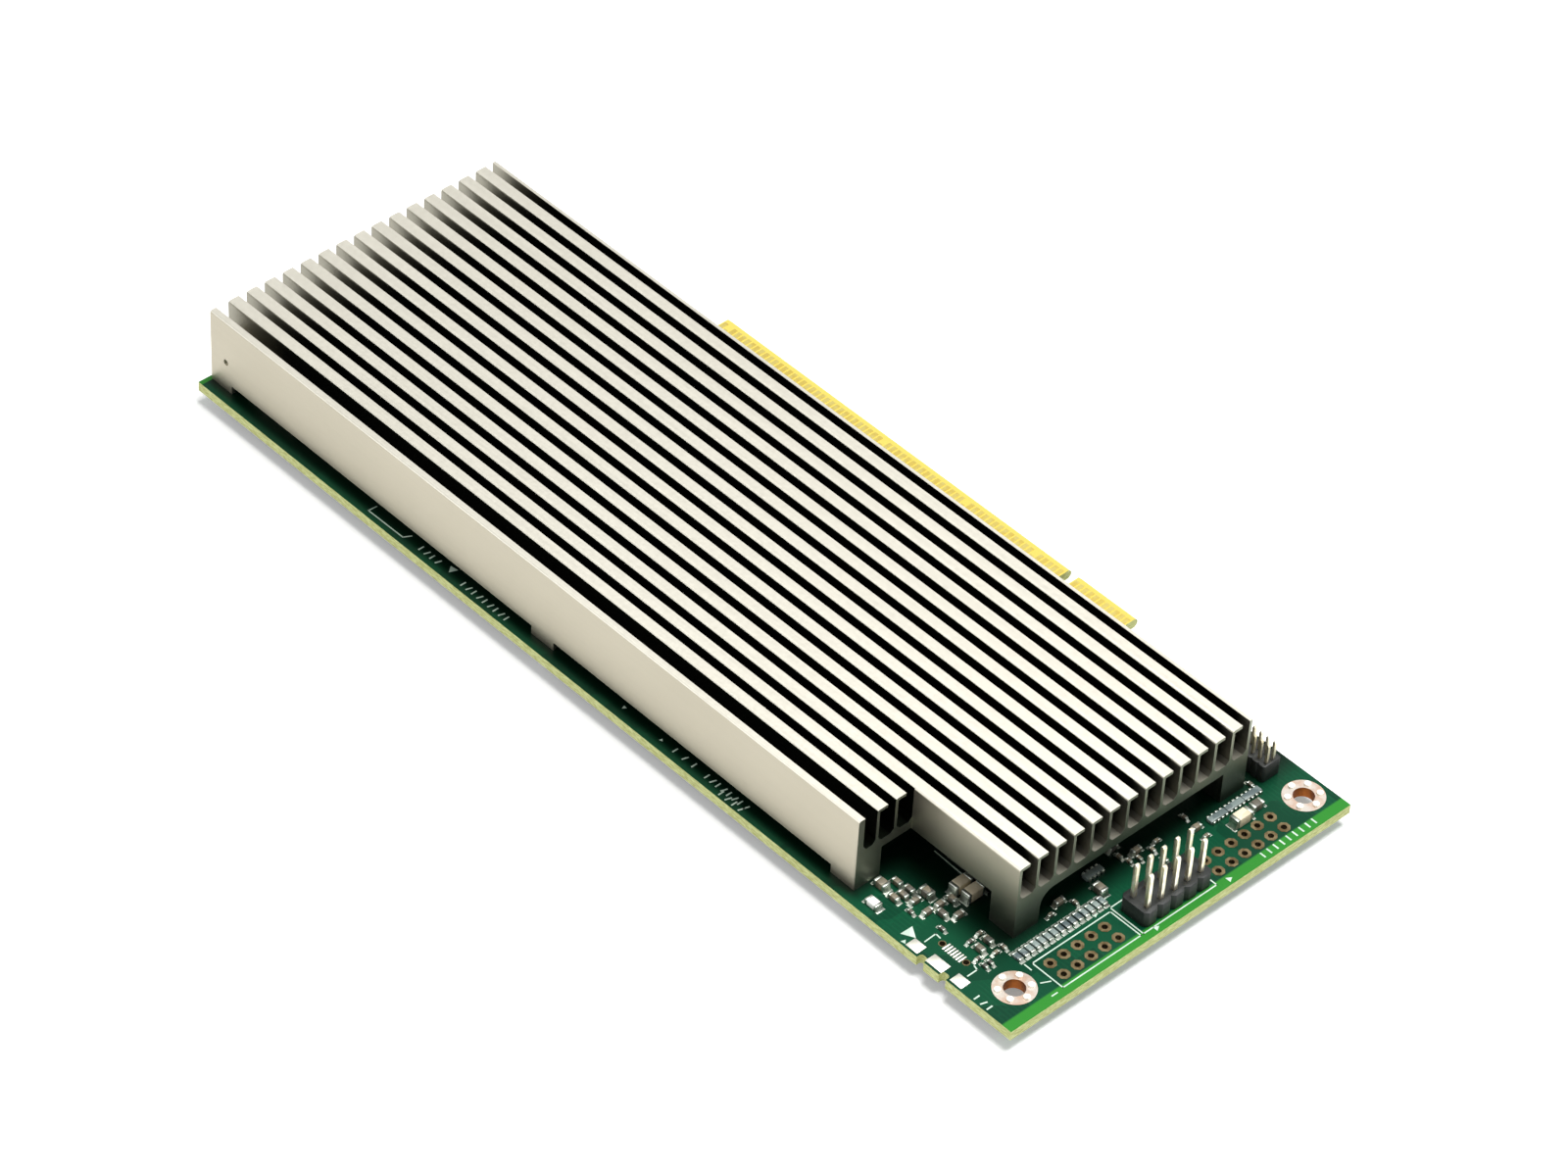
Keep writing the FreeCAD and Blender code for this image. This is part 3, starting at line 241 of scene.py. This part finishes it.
def extrudedAluminium():
    low, high = boxInMm("heat_sink")
    stepX = high.x - extrusion["stepLength"]
    finish = Finish("extruded_aluminium", extrusion["cap"], 0.4, 1.0)
    x, y, z = finish.axes(finish.place())
    nx, ny, nz = finish.facing()
    dieLines = finish.noise(finish.place(extrusion["diePull"], 2.2, 2.2), 3.0)
    cloud = finish.noise(finish.place(0.05, 0.05, 0.11))
    speckle = finish.noise(finish.evenPlace(1.6))
    grain = cloud * 0.6 + speckle * 0.4
    wall = finish.blend(grain, extrusion["wallShade"], extrusion["wall"])
    cap = finish.blend(grain, extrusion["capShade"], extrusion["cap"])
    # painted light: the tops take a lighter tone than the upright faces
    tone = finish.blend(nz > 0.5, wall, cap)
    # painted shade on the faces towards the bracket end
    tone = finish.blend(nx > 0.5, tone, extrusion["shadedEndFace"])
    # painted shade: the step's side and the feet towards the bracket end darken towards the board
    lowShadeMask = finish.soften(x, stepX - 0.5, stepX + 0.5) * (ny < 0.5) * (abs(nz) < 0.5)
    lowShadeMask = lowShadeMask * finish.soften(high.z - z, extrusion["lowWallFrom"],
                                    high.z - low.z - extrusion["lowWallTo"])
    tone = finish.blend(lowShadeMask * extrusion["lowWallShare"], tone, extrusion["paintedLowShade"])
    # painted shade: the channels are dark inside and brighten towards their open ends
    inside = (z < high.z - extrusion["channelTop"]) * (z > low.z + extrusion["channelFloor"])
    inside = inside * window(y, low.y + extrusion["nearWall"], high.y - extrusion["farWall"])
    stepWall = (x > stepX) * (y < low.y + extrusion["stepDepth"] + 0.3) * (ny < -0.5)
    inside = inside * (abs(nx) < 0.5) * (1.0 - stepWall)
    fadeX = low.x + extrusion["channelStart"]
    shadeFade = finish.soften(x, fadeX, fadeX + extrusion["channelFade"])
    shadeFade = shadeFade * finish.soften(high.x - x, 0.0, extrusion["mouthFade"])
    channel = finish.blend(shadeFade, extrusion["channelEnd"], extrusion["channel"])
    finish.feed("Base Color", finish.blend(inside, tone, channel))
    finish.feed("Roughness", 0.36 + 0.08 * speckle + 0.08 * dieLines)
    finish.bump(dieLines * 0.6 + speckle * 0.4, 0.10, 0.2)
    return finish.material


laminate = {
    "mask": srgb(2, 58, 37),
    "maskOverCopper": srgb(6, 76, 48),
    "border": srgb(46, 128, 44),          # bare of copper, so the light comes through
    "paintedSinkShadow": srgb(1, 20, 10),         # painted shadow beside and below the heat sink
    "contactStrip": srgb(214, 196, 96),
    "edge": srgb(206, 212, 152),
    "edgeDark": srgb(172, 176, 110),
    "endBorder": 1.6,        # mm of border at the bracket end
    "plainBorder": 0.8,      # and at the other end
    "stripDepth": 5.3,       # mm of bare tab between the contacts
    "stripPast": 1.0,        # mm that it runs past the contacts
    "sinkShadowShare": 0.95,
}


def copperUnderMask(finish):
    pour = finish.node("ShaderNodeTexVoronoi", {"feature": "F1", "distance": "CHEBYCHEV"},
                       {"Vector": finish.place(0.16, 0.11, 0.0), "Scale": 1.0}, out="Color")
    pourShade = finish.soften(finish.axes(pour)[0], 0.42, 0.46)
    gap, track = (0.0, 0.0, 0.0), (1.0, 1.0, 1.0)
    tracks = finish.node("ShaderNodeTexBrick", {"offset": 0.4, "squash": 1.0},
                         {"Vector": finish.place(0.5, 0.9, 0.0), "Scale": 1.0, "Mortar Size": 0.09,
                          "Brick Width": 3.1, "Row Height": 0.62,
                          "Color1": gap, "Color2": gap, "Mortar": track}, out="Color")
    patches = finish.soften(finish.noise(finish.place(0.09, 0.09, 0.0), 1.0), 0.47, 0.53)
    return pourShade * 0.5 + finish.axes(tracks)[0] * patches * 0.3


def sinkShadowMask(finish, x, y):
    # 1 where the heat sink and its step keep the light off the board: the mask for its painted
    # shadow
    boardLow = boxInMm("pcb")[0]
    sinkLow, sinkHigh = boxInMm("heat_sink")
    stepX = sinkHigh.x - extrusion["stepLength"]
    nearSide = finish.soften(y, boardLow.y + 0.2, sinkLow.y - 0.2)
    endSide = finish.soften(stepX + 3.0 - x, 0.0, 3.5)
    besideStep = finish.soften(y, sinkLow.y + 3.0, sinkLow.y + extrusion["stepDepth"] - 0.5)
    besideStep = besideStep * finish.soften(sinkHigh.x + 4.0 - x, 0.0, 5.0)
    sinkShadow = nearSide * endSide
    return sinkShadow + besideStep * (1.0 - sinkShadow)


def boardFinish():
    low, high = boxInMm("pcb")
    tabLow, tabHigh = boxInMm("contact_fingers_top")
    finish = Finish("solder_mask", laminate["mask"], 0.32, 0.0)
    finish.feed("Specular IOR Level", 0.15)
    x, y = finish.axes(finish.place())[:2]
    flat = abs(finish.facing()[2]) > 0.5
    copper = copperUnderMask(finish)
    green = finish.blend(copper, laminate["mask"], laminate["maskOverCopper"])
    # painted shadow of the heat sink on the board
    sinkShadow = sinkShadowMask(finish, x, y) * laminate["sinkShadowShare"]
    green = finish.blend(sinkShadow, green, laminate["paintedSinkShadow"])
    borderX = high.x - laminate["endBorder"]
    border = finish.soften(x, borderX - 0.3, borderX + 0.1)
    border = border + (x < low.x + laminate["plainBorder"]) * (1.0 - border)
    green = finish.blend(border, green, laminate["border"])
    past = laminate["stripPast"]
    strip = (y > high.y - laminate["stripDepth"]) * window(x, tabLow.x - past, tabHigh.x + past)
    green = finish.blend(strip, green, laminate["contactStrip"])
    fibres = finish.noise(finish.place(1.2, 1.2, 6.0))
    side = finish.blend(finish.soften(fibres, 0.3, 0.7), laminate["edgeDark"], laminate["edge"])
    finish.feed("Base Color", finish.blend(flat, side, green))
    finish.feed("Roughness", 0.62 - flat * 0.30)
    finish.bump(copper + fibres * 0.15, 0.25, 0.06)
    return finish.material


plating = {
    "grain": 0.9,          # patches to the mm
    "patchy": 0.16,        # how far the roughness varies
    "bump": 0.12,
    "bumpDepth": 0.08,     # mm
}


def platedFinish(name, colour, shade, rough):
    finish = Finish(name, colour, rough, 1.0)
    patch = finish.noise(finish.evenPlace(plating["grain"]), 3.0, 0.6)
    finish.feed("Base Color", finish.blend(finish.soften(patch, 0.35, 0.65), colour, shade))
    finish.feed("Roughness", rough + plating["patchy"] * (patch - 0.5))
    finish.bump(patch, plating["bump"], plating["bumpDepth"])
    return finish.material


bracketRing = {
    "face": srgb(226, 218, 208),          # tinned
    "faceShade": srgb(206, 178, 158),
    "bore": srgb(176, 104, 48),           # bare copper
    "boreShade": srgb(120, 66, 28),
}


def ringFinish():
    finish = Finish("ring_plating", bracketRing["face"], 0.4, 1.0)
    patch = finish.noise(finish.evenPlace(0.5), 3.0, 0.6)
    worn = finish.soften(patch, 0.35, 0.65)
    face = finish.blend(worn, bracketRing["face"], bracketRing["faceShade"])
    bore = finish.blend(patch, bracketRing["bore"], bracketRing["boreShade"])
    finish.feed("Base Color", finish.blend(abs(finish.facing()[2]) > 0.5, bore, face))
    finish.feed("Roughness", 0.38 + 0.16 * (patch - 0.5))
    finish.bump(patch, 0.15, 0.1)
    return finish.material


moulding = {
    "grain": 3.0,          # fine grain, patches to the mm
    "cloud": 0.3,          # and the wide one
    "patchy": 0.2,
    "bump": 0.25,
    "bumpDepth": 0.08,     # mm
}


def mouldedFinish(name, colour, shade, rough):
    finish = Finish(name, colour, rough)
    fine = finish.noise(finish.evenPlace(moulding["grain"]), 3.0, 0.65)
    wide = finish.noise(finish.evenPlace(moulding["cloud"]))
    finish.feed("Base Color", finish.blend(finish.soften(wide, 0.3, 0.7), colour, shade))
    finish.feed("Roughness", rough + moulding["patchy"] * (fine - 0.5))
    finish.bump(fine, moulding["bump"], moulding["bumpDepth"])
    return finish.material


pressedBlock = {
    "body": srgb(14, 18, 18),
    "bodyLight": srgb(26, 30, 30),
    "rim": srgb(170, 182, 170),           # painted highlight on the softened upper edge
    "rimLow": 0.25,      # a face gets the painted highlight between these two, where 0 is upright and 1 looks up
    "rimHigh": 0.93,     # where 0 is upright and 1 looks up
}


def inductorFinish():
    finish = Finish("inductor_block", pressedBlock["body"], 0.55)
    grain = finish.noise(finish.evenPlace(moulding["grain"]), 3.0, 0.65)
    # painted highlight on the faces of the softened edge
    rim = window(finish.facing()[2], pressedBlock["rimLow"], pressedBlock["rimHigh"])
    body = finish.blend(grain, pressedBlock["body"], pressedBlock["bodyLight"])
    finish.feed("Base Color", finish.blend(rim, body, pressedBlock["rim"]))
    finish.feed("Roughness", 0.5 + moulding["patchy"] * (grain - 0.5))
    finish.bump(grain, 0.2, 0.06)
    return finish.material


chips = {
    "cell": 0.45,          # tones to the mm
    "cellShare": 0.8,      # the rest is grain
    "grain": 5.0,
    "patchy": 0.15,
    "bump": 0.15,
    "bumpDepth": 0.05,     # mm
}


def chipFinish(name, colour, shade, rough=0.45):
    # each small part gets its own tone from where it stands
    finish = Finish(name, colour, rough)
    spot = finish.place(chips["cell"], chips["cell"], 0.0)
    cell = finish.node("ShaderNodeTexVoronoi", {"feature": "F1"},
                       {"Vector": spot, "Scale": 1.0}, out="Color")
    grain = finish.noise(finish.evenPlace(chips["grain"]))
    tone = finish.axes(cell)[0] * chips["cellShare"] + grain * (1.0 - chips["cellShare"])
    finish.feed("Base Color", finish.blend(tone, colour, shade))
    finish.feed("Roughness", rough + chips["patchy"] * (grain - 0.5))
    finish.bump(grain, chips["bump"], chips["bumpDepth"])
    return finish.material


print("finishes")
finishes = {
    "extrusion": extrudedAluminium(),
    "board": boardFinish(),
    "gold": platedFinish("gold_plating", srgb(240, 222, 132), srgb(226, 200, 100), 0.36),
    "pinGold": platedFinish("pin_plating", srgb(252, 248, 230), srgb(238, 228, 196), 0.36),
    "copper": platedFinish("land_plating", srgb(126, 112, 84), srgb(92, 78, 54), 0.5),
    "ring": ringFinish(),
    "tin": platedFinish("tin", srgb(222, 226, 216), srgb(164, 172, 162), 0.36),
    "bright": platedFinish("bright_tin", srgb(252, 252, 246), srgb(232, 230, 218), 0.5),
    "steel": platedFinish("screw_steel", srgb(190, 190, 192), srgb(150, 150, 152), 0.32),
    "nickel": platedFinish("nickel_lid", srgb(200, 196, 186), srgb(176, 172, 162), 0.3),
    "header": mouldedFinish("header_plastic", srgb(6, 12, 10), srgb(14, 20, 19), 0.55),
    "package": mouldedFinish("package_moulding", srgb(34, 34, 37), srgb(46, 46, 49), 0.55),
    "inductor": inductorFinish(),
    "substrate": mouldedFinish("substrate_laminate", srgb(30, 74, 48), srgb(44, 92, 58), 0.45),
    "thermal": mouldedFinish("thermal_pad_soft", srgb(150, 152, 162), srgb(132, 134, 146), 0.8),
    "tan": chipFinish("tan_ceramic", srgb(52, 56, 54), srgb(142, 132, 110)),
    "cream": chipFinish("cream_ceramic", srgb(232, 222, 196), srgb(206, 192, 160)),
    "resistor": chipFinish("resistor_glaze", srgb(70, 84, 88), srgb(150, 164, 158), 0.3),
    "lamp": chipFinish("lamp_lens", srgb(250, 250, 246), srgb(236, 238, 230), 0.25),
    "print": chipFinish("board_print", srgb(206, 222, 208), srgb(176, 198, 182), 0.6),
}

nodeFinish = {
    "pcb": "board", "contact_fingers_top": "gold", "contact_fingers_bottom": "gold",
    "heat_sink": "extrusion", "heat_sink_screws": "steel", "bracket_ring_near": "ring",
    "bracket_ring_far": "ring", "bracket_bumps_near": "bright", "bracket_bumps_far": "bright",
    "near_grid_lands": "copper", "header_lands": "copper", "far_grid_lands": "copper",
    "processor_substrate": "substrate", "processor_lid": "nickel", "thermal_pad": "thermal",
    "memory_packages": "package", "power_inductor": "inductor", "power_inductor_ends": "tin",
    "regulator_packages": "package", "pin_header_base": "header", "pin_header_pins": "pinGold",
    "pin_header_solder": "tin", "debug_header_base": "header", "debug_header_pins": "pinGold",
    "debug_header_solder": "tin", "footprint_pads": "bright", "footprint_hole_rims": "copper",
    "resistor_arrays": "resistor", "resistor_array_ends": "tin", "row_resistors": "resistor",
    "row_resistors_ends": "tin", "ceramic_capacitors": "cream", "ceramic_capacitors_ends": "tin",
    "mid_capacitors": "tan", "mid_capacitors_ends": "tin", "small_capacitors": "tan",
    "small_capacitors_ends": "tin", "fine_capacitors": "tan", "fine_capacitors_ends": "tin",
    "bottom_capacitors": "tan", "bottom_capacitors_ends": "tin", "status_lamp": "lamp",
    "status_lamp_ends": "tin",
}


def dress(piece, finishName):
    piece.data.materials.clear()
    piece.data.materials.append(finishes[finishName])


for nodeName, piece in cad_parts.items():
    dress(piece, nodeFinish[nodeName])


edges = {
    "steps": 2,
    "sharp": 35,        # degrees: an edge that is flatter than this stays as it is
    "smooth": 30,       # degrees
    "merge": 0.002,     # mm
    "flat": 1.0,        # degrees
}

# how wide each node's edges are softened, in mm
edgeWidths = {
    "pin_header_base": 0.12, "debug_header_base": 0.08, "power_inductor": 0.22,
    "power_inductor_ends": 0.05, "status_lamp": 0.10, "status_lamp_ends": 0.06,
    "ceramic_capacitors": 0.10, "ceramic_capacitors_ends": 0.10, "mid_capacitors": 0.07,
    "mid_capacitors_ends": 0.08, "small_capacitors": 0.05, "small_capacitors_ends": 0.06,
    "fine_capacitors": 0.03, "fine_capacitors_ends": 0.04, "bottom_capacitors": 0.05,
    "bottom_capacitors_ends": 0.06, "row_resistors": 0.03, "row_resistors_ends": 0.04,
    "resistor_arrays": 0.04, "resistor_array_ends": 0.04, "footprint_pads": 0.05,
    "pin_header_pins": 0.05, "memory_packages": 0.10, "regulator_packages": 0.08,
}


def mergedCopy(nodeName, newName):
    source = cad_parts[nodeName]
    piece = bpy.data.objects.new(newName, source.data.copy())
    bpy.context.scene.collection.objects.link(piece)
    makeActive(piece)
    bpy.ops.object.mode_set(mode="EDIT")
    bpy.ops.mesh.select_all(action="SELECT")
    bpy.ops.mesh.remove_doubles(threshold=edges["merge"] * mm)
    bpy.ops.mesh.dissolve_limited(angle_limit=math.radians(edges["flat"]))
    bpy.ops.object.mode_set(mode="OBJECT")
    return piece


def softened(nodeName, width):
    piece = mergedCopy(nodeName, nodeName + "_soft")
    bevel = piece.modifiers.new("edges", "BEVEL")
    bevel.width = width * mm
    bevel.segments = edges["steps"]
    bevel.limit_method = "ANGLE"
    bevel.angle_limit = math.radians(edges["sharp"])
    bevel.use_clamp_overlap = True
    applyModifiers(piece)
    makeActive(piece)
    bpy.ops.object.shade_smooth_by_angle(angle=math.radians(edges["smooth"]))
    dress(piece, nodeFinish[nodeName])
    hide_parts(nodeName)
    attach(piece, "root")


print("soft edges")
for nodeName, width in edgeWidths.items():
    softened(nodeName, width)


def looseBoxes(nodeName):
    # the corners of each loose body in a node
    piece = mergedCopy(nodeName, "measure")
    mesh = bmesh.new()
    mesh.from_mesh(piece.data)
    found, boxes = set(), []
    for vertex in mesh.verts:
        if vertex in found:
            continue
        found.add(vertex)
        waiting, group = [vertex], []
        while waiting:
            current = waiting.pop()
            group.append(current.co.copy())
            for edge in current.link_edges:
                other = edge.other_vert(current)
                if other not in found:
                    found.add(other)
                    waiting.append(other)
        boxes.append([Vector([pick(spot[axis] for spot in group) for axis in range(3)])
                      for pick in (min, max)])
    mesh.free()
    bpy.data.objects.remove(piece)
    return boxes


solder = {
    "reach": 0.32,         # mm that a fillet runs out from an end cap
    "reachShare": 0.8,     # and at most this share of the cap's height
    "climb": 0.72,         # share of the cap's height that the solder climbs
    "width": 0.96,         # share of the cap's width
    "land": 0.14,          # mm of bare land past the fillet
    "landWidth": 1.16,     # share of the cap's width
    "film": 0.03,          # mm, the land's own thickness
    "slope": ((0.18, 0.72), (0.34, 0.52), (0.48, 0.30)),    # rise and what is left of the reach
    "narrowing": 0.94,
    "smooth": 40,          # degrees
    "nodes": ["row_resistors", "ceramic_capacitors", "mid_capacitors", "small_capacitors",
              "fine_capacitors", "bottom_capacitors", "status_lamp"],
}


def filletMaster():
    # one fillet of unit size: foot from 0 to 1 along X, concave slope, width 1 along Y
    deselectAll()
    bpy.ops.mesh.primitive_plane_add(size=1.0, location=(0.5, 0.0, 0.0))
    piece = bpy.context.active_object
    bpy.ops.object.transform_apply(location=True, rotation=False, scale=False)
    bpy.ops.object.mode_set(mode="EDIT")
    bpy.ops.mesh.select_all(action="SELECT")
    for rise, shrink in solder["slope"]:
        bpy.ops.mesh.extrude_region_move(TRANSFORM_OT_translate={"value": (0.0, 0.0, rise)})
        bpy.ops.transform.resize(value=(shrink, solder["narrowing"], 1.0),
                                 center_override=(0.0, 0.0, 0.0))
    bpy.ops.mesh.select_all(action="SELECT")
    bpy.ops.mesh.normals_make_consistent(inside=False)
    bpy.ops.object.mode_set(mode="OBJECT")
    return piece


def filletCopy(master, foot, turn, size, under):
    piece = bpy.data.objects.new("fillet", master.data.copy())
    bpy.context.scene.collection.objects.link(piece)
    piece.data.transform(Matrix.Translation(foot) @ Matrix.Rotation(turn, 4, "Z")
                         @ Matrix.Diagonal((*size, 1.0)))
    if under:
        piece.data.flip_normals()      # the downward size turned it inside out
    return piece


def capSolder(master, low, high, bodies, under):
    # the fillet and the land at one end cap, on the side away from its own body
    middle = (low + high) / 2
    away = min(((middle - (first + last) / 2) for first, last in bodies),
               key=lambda step: step.length)
    axis = 0 if abs(away.x) > abs(away.y) else 1
    outward = away[axis] > 0
    foot = Vector(middle)
    foot[axis] = high[axis] if outward else low[axis]
    foot.z = board["bottom"] if under else board["top"]
    turn = axis * math.pi / 2 + (0.0 if outward else math.pi)
    width = high[1 - axis] - low[1 - axis]
    tall = high.z - low.z
    up = -1.0 if under else 1.0
    reach = min(solder["reach"] * mm, tall * solder["reachShare"])
    fillet = (reach, width * solder["width"], tall * solder["climb"] * up)
    land = (reach + solder["land"] * mm, width * solder["landWidth"], solder["film"] * mm * up)
    return [filletCopy(master, foot, turn, size, under) for size in (fillet, land)]


def solderFillets():
    master = filletMaster()
    pieces = []
    for nodeName in solder["nodes"]:
        bodies = looseBoxes(nodeName)
        under = nodeName.startswith("bottom")
        for low, high in looseBoxes(nodeName + "_ends"):
            pieces += capSolder(master, low, high, bodies, under)
    bpy.data.objects.remove(master)
    piece = joined("chip_solder", pieces)
    dress(piece, "tin")
    makeActive(piece)
    bpy.ops.object.shade_smooth_by_angle(angle=math.radians(solder["smooth"]))
    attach(piece, "root")


print("solder")
solderFillets()


boardPrint = {
    "line": 0.20,        # mm wide
    "film": 0.02,        # mm thick
    "gap": 0.004,        # mm over the board
    # rectangles as inset from the bracket end and place from the plain edge
    "frames": [((6.95, 10.75), (1.25, 25.25)), ((7.45, 25.75), (1.25, 39.65))],
    "strokes": [((18.9, 2.7), (19.0, 4.8)), ((19.0, 4.8), (18.1, 4.7)),
                ((10.8, 2.7), (10.8, 4.4)), ((10.8, 4.4), (11.5, 4.6)),
                ((130.6, 1.0), (123.2, 1.1)), ((130.6, 1.0), (130.5, 2.4)),
                ((123.2, 1.1), (122.6, 2.2)), ((7.4, 9.8), (6.2, 9.8)),
                ((3.7, 9.1), (3.1, 10.3)), ((1.1, 8.6), (1.1, 9.5)),
                ((30.1, 15.3), (19.8, 14.9))],
    # centre, radius and turn of small filled shapes
    "wedges": [((7.9, 23.3), 0.55, 0.0), ((0.9, 27.8), 0.55, 2.1), ((0.9, 41.7), 0.55, 2.1),
               ((21.4, 2.3), 1.25, 0.5), ((20.7, 0.6), 0.45, 0.2), ((77.4, 2.0), 0.40, 0.9),
               ((69.4, 1.6), 0.32, 0.3), ((113.6, 2.1), 0.80, 1.2)],
    # rows of plain ticks: first inset, place from the plain edge, count, pitch
    "ticks": [(119.8, 1.2, 4, 1.2), (110.4, 0.9, 9, 1.15), (66.7, 1.3, 3, 1.9),
              (60.2, 1.2, 8, 1.1), (56.6, 0.5, 4, 1.3), (7.3, 0.5, 3, 1.2)],
    "tickLength": 0.8,
    "tickLean": 0.25,    # of every second tick
    "tickLine": 0.24,
    # the ticks along the bracket end: inset from and to, first place, count, pitch
    "endTicks": (1.5, 0.7, 48.4, 9, 1.25),
    "endTickLine": 0.26,
}


def printStroke(start, end, width):
    first, last = cardPoint(*start, boardPrint["gap"]), cardPoint(*end, boardPrint["gap"])
    along = last - first
    deselectAll()
    bpy.ops.mesh.primitive_plane_add(size=1.0, location=(first + last) / 2,
                                     rotation=(0.0, 0.0, math.atan2(along.y, along.x)))
    piece = bpy.context.active_object
    piece.scale = (along.length + width * mm, width * mm, 1.0)
    return settle(piece)


def printWedge(centre, radius, turn):
    deselectAll()
    bpy.ops.mesh.primitive_circle_add(vertices=3, radius=radius * mm, fill_type="NGON",
                                      location=cardPoint(*centre, boardPrint["gap"]),
                                      rotation=(0.0, 0.0, turn))
    return settle(bpy.context.active_object)


def printTicks():
    pieces = []
    for first, near, count, pitch in boardPrint["ticks"]:
        far = near + boardPrint["tickLength"]
        for tick in range(count):
            inset = first - tick * pitch
            lean = boardPrint["tickLean"] * (tick % 2)
            pieces.append(printStroke((inset, near), (inset - lean, far), boardPrint["tickLine"]))
    start, end, first, count, pitch = boardPrint["endTicks"]
    for tick in range(count):
        near = first + tick * pitch
        pieces.append(printStroke((start, near), (end, near), boardPrint["endTickLine"]))
    return pieces


def printOnBoard():
    line = boardPrint["line"]
    pieces = []
    for (left, near), (right, far) in boardPrint["frames"]:
        corners = [(left, near), (right, near), (right, far), (left, far)]
        for index, corner in enumerate(corners):
            pieces.append(printStroke(corner, corners[(index + 1) % 4], line))
    for start, end in boardPrint["strokes"]:
        pieces.append(printStroke(start, end, line))
    for centre, radius, turn in boardPrint["wedges"]:
        pieces.append(printWedge(centre, radius, turn))
    piece = joined("board_print", pieces + printTicks())
    film = piece.modifiers.new("film", "SOLIDIFY")
    film.thickness = boardPrint["film"] * mm
    film.offset = 1.0
    applyModifiers(piece)
    dress(piece, "print")
    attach(piece, "root")


print("board print")
printOnBoard()


stage = {
    "floor": 4.0,          # m across
    "floorColour": (0.90, 0.90, 0.90),
    "floorRoughness": 0.9,
    "lift": 0.22,          # extra floor brightness, for rays that look at it directly
    "sky": 0.30,           # what the sky gives to matt surfaces
    "shine": 0.40,         # what it adds in mirrored light
}


def seenDirectly(finish):
    total = finish.node("ShaderNodeLightPath", out="Is Camera Ray")
    for way in ("Is Glossy Ray", "Is Transmission Ray"):
        total = total + finish.node("ShaderNodeLightPath", out=way)
    return finish.node("ShaderNodeClamp", inputs={"Value": total})


def addFloor():
    deselectAll()
    bpy.ops.mesh.primitive_plane_add(size=stage["floor"], location=(0.0, 0.0, 0.0))
    floor = bpy.context.active_object
    floor.name = "floor"
    finish = Finish("floor_paper", stage["floorColour"], stage["floorRoughness"])
    finish.feed("Specular IOR Level", 0.0)
    finish.feed("Emission Strength", 1.0)
    lift = seenDirectly(finish) * stage["lift"]
    glow = finish.node("ShaderNodeCombineXYZ", inputs={0: lift, 1: lift, 2: lift})
    finish.feed("Emission Color", glow)
    floor.data.materials.append(finish.material)


def addSky():
    # plain white where the camera looks past the floor
    world = bpy.data.worlds.new("studio")
    bpy.context.scene.world = world
    sky = ShaderTree(world, "Background")
    camera = sky.node("ShaderNodeLightPath", out="Is Camera Ray")
    glossy = sky.node("ShaderNodeLightPath", out="Is Glossy Ray")
    sky.feed("Color", (1.0, 1.0, 1.0))
    sky.feed("Strength", camera * (1.0 - stage["sky"]) + stage["sky"] + glossy * stage["shine"])


# each lamp's place and size in m and its power in W, aimed at the card's middle
lamps = {
    "overhead": ((0.12, 0.22, 1.15), 0.6, 18.0),
    "near_fill": ((-0.35, -0.95, 0.55), 0.8, 3.0),
    "end_fill": ((1.1, 0.1, 0.5), 0.6, 1.0),
}


def addLamps():
    for name, (place, size, power) in lamps.items():
        data = bpy.data.lights.new(name, "AREA")
        data.shape = "DISK"
        data.size = size
        data.energy = power
        lamp = bpy.data.objects.new(name, data)
        bpy.context.scene.collection.objects.link(lamp)
        lamp.location = place
        lamp.rotation_euler = (-Vector(place)).to_track_quat("-Z", "Y").to_euler()


view = {
    "place": (0.41611, -0.41681, 0.54405),      # m
    "turn": (47.3316, -2.6452, 47.1494),        # degrees
    "lens": 131.118,                            # mm
    "sensor": 36.0,
    "nearest": 0.01,                            # m
}


def addCamera():
    data = bpy.data.cameras.new("camera")
    data.sensor_width = view["sensor"]
    data.lens = view["lens"]
    data.clip_start = view["nearest"]
    camera = bpy.data.objects.new("camera", data)
    bpy.context.scene.collection.objects.link(camera)
    camera.location = view["place"]
    camera.rotation_euler = Euler([math.radians(angle) for angle in view["turn"]])
    bpy.context.scene.camera = camera


print("stage")
addFloor()
addSky()
addLamps()
addCamera()
bpy.context.scene.view_settings.view_transform = "Standard"
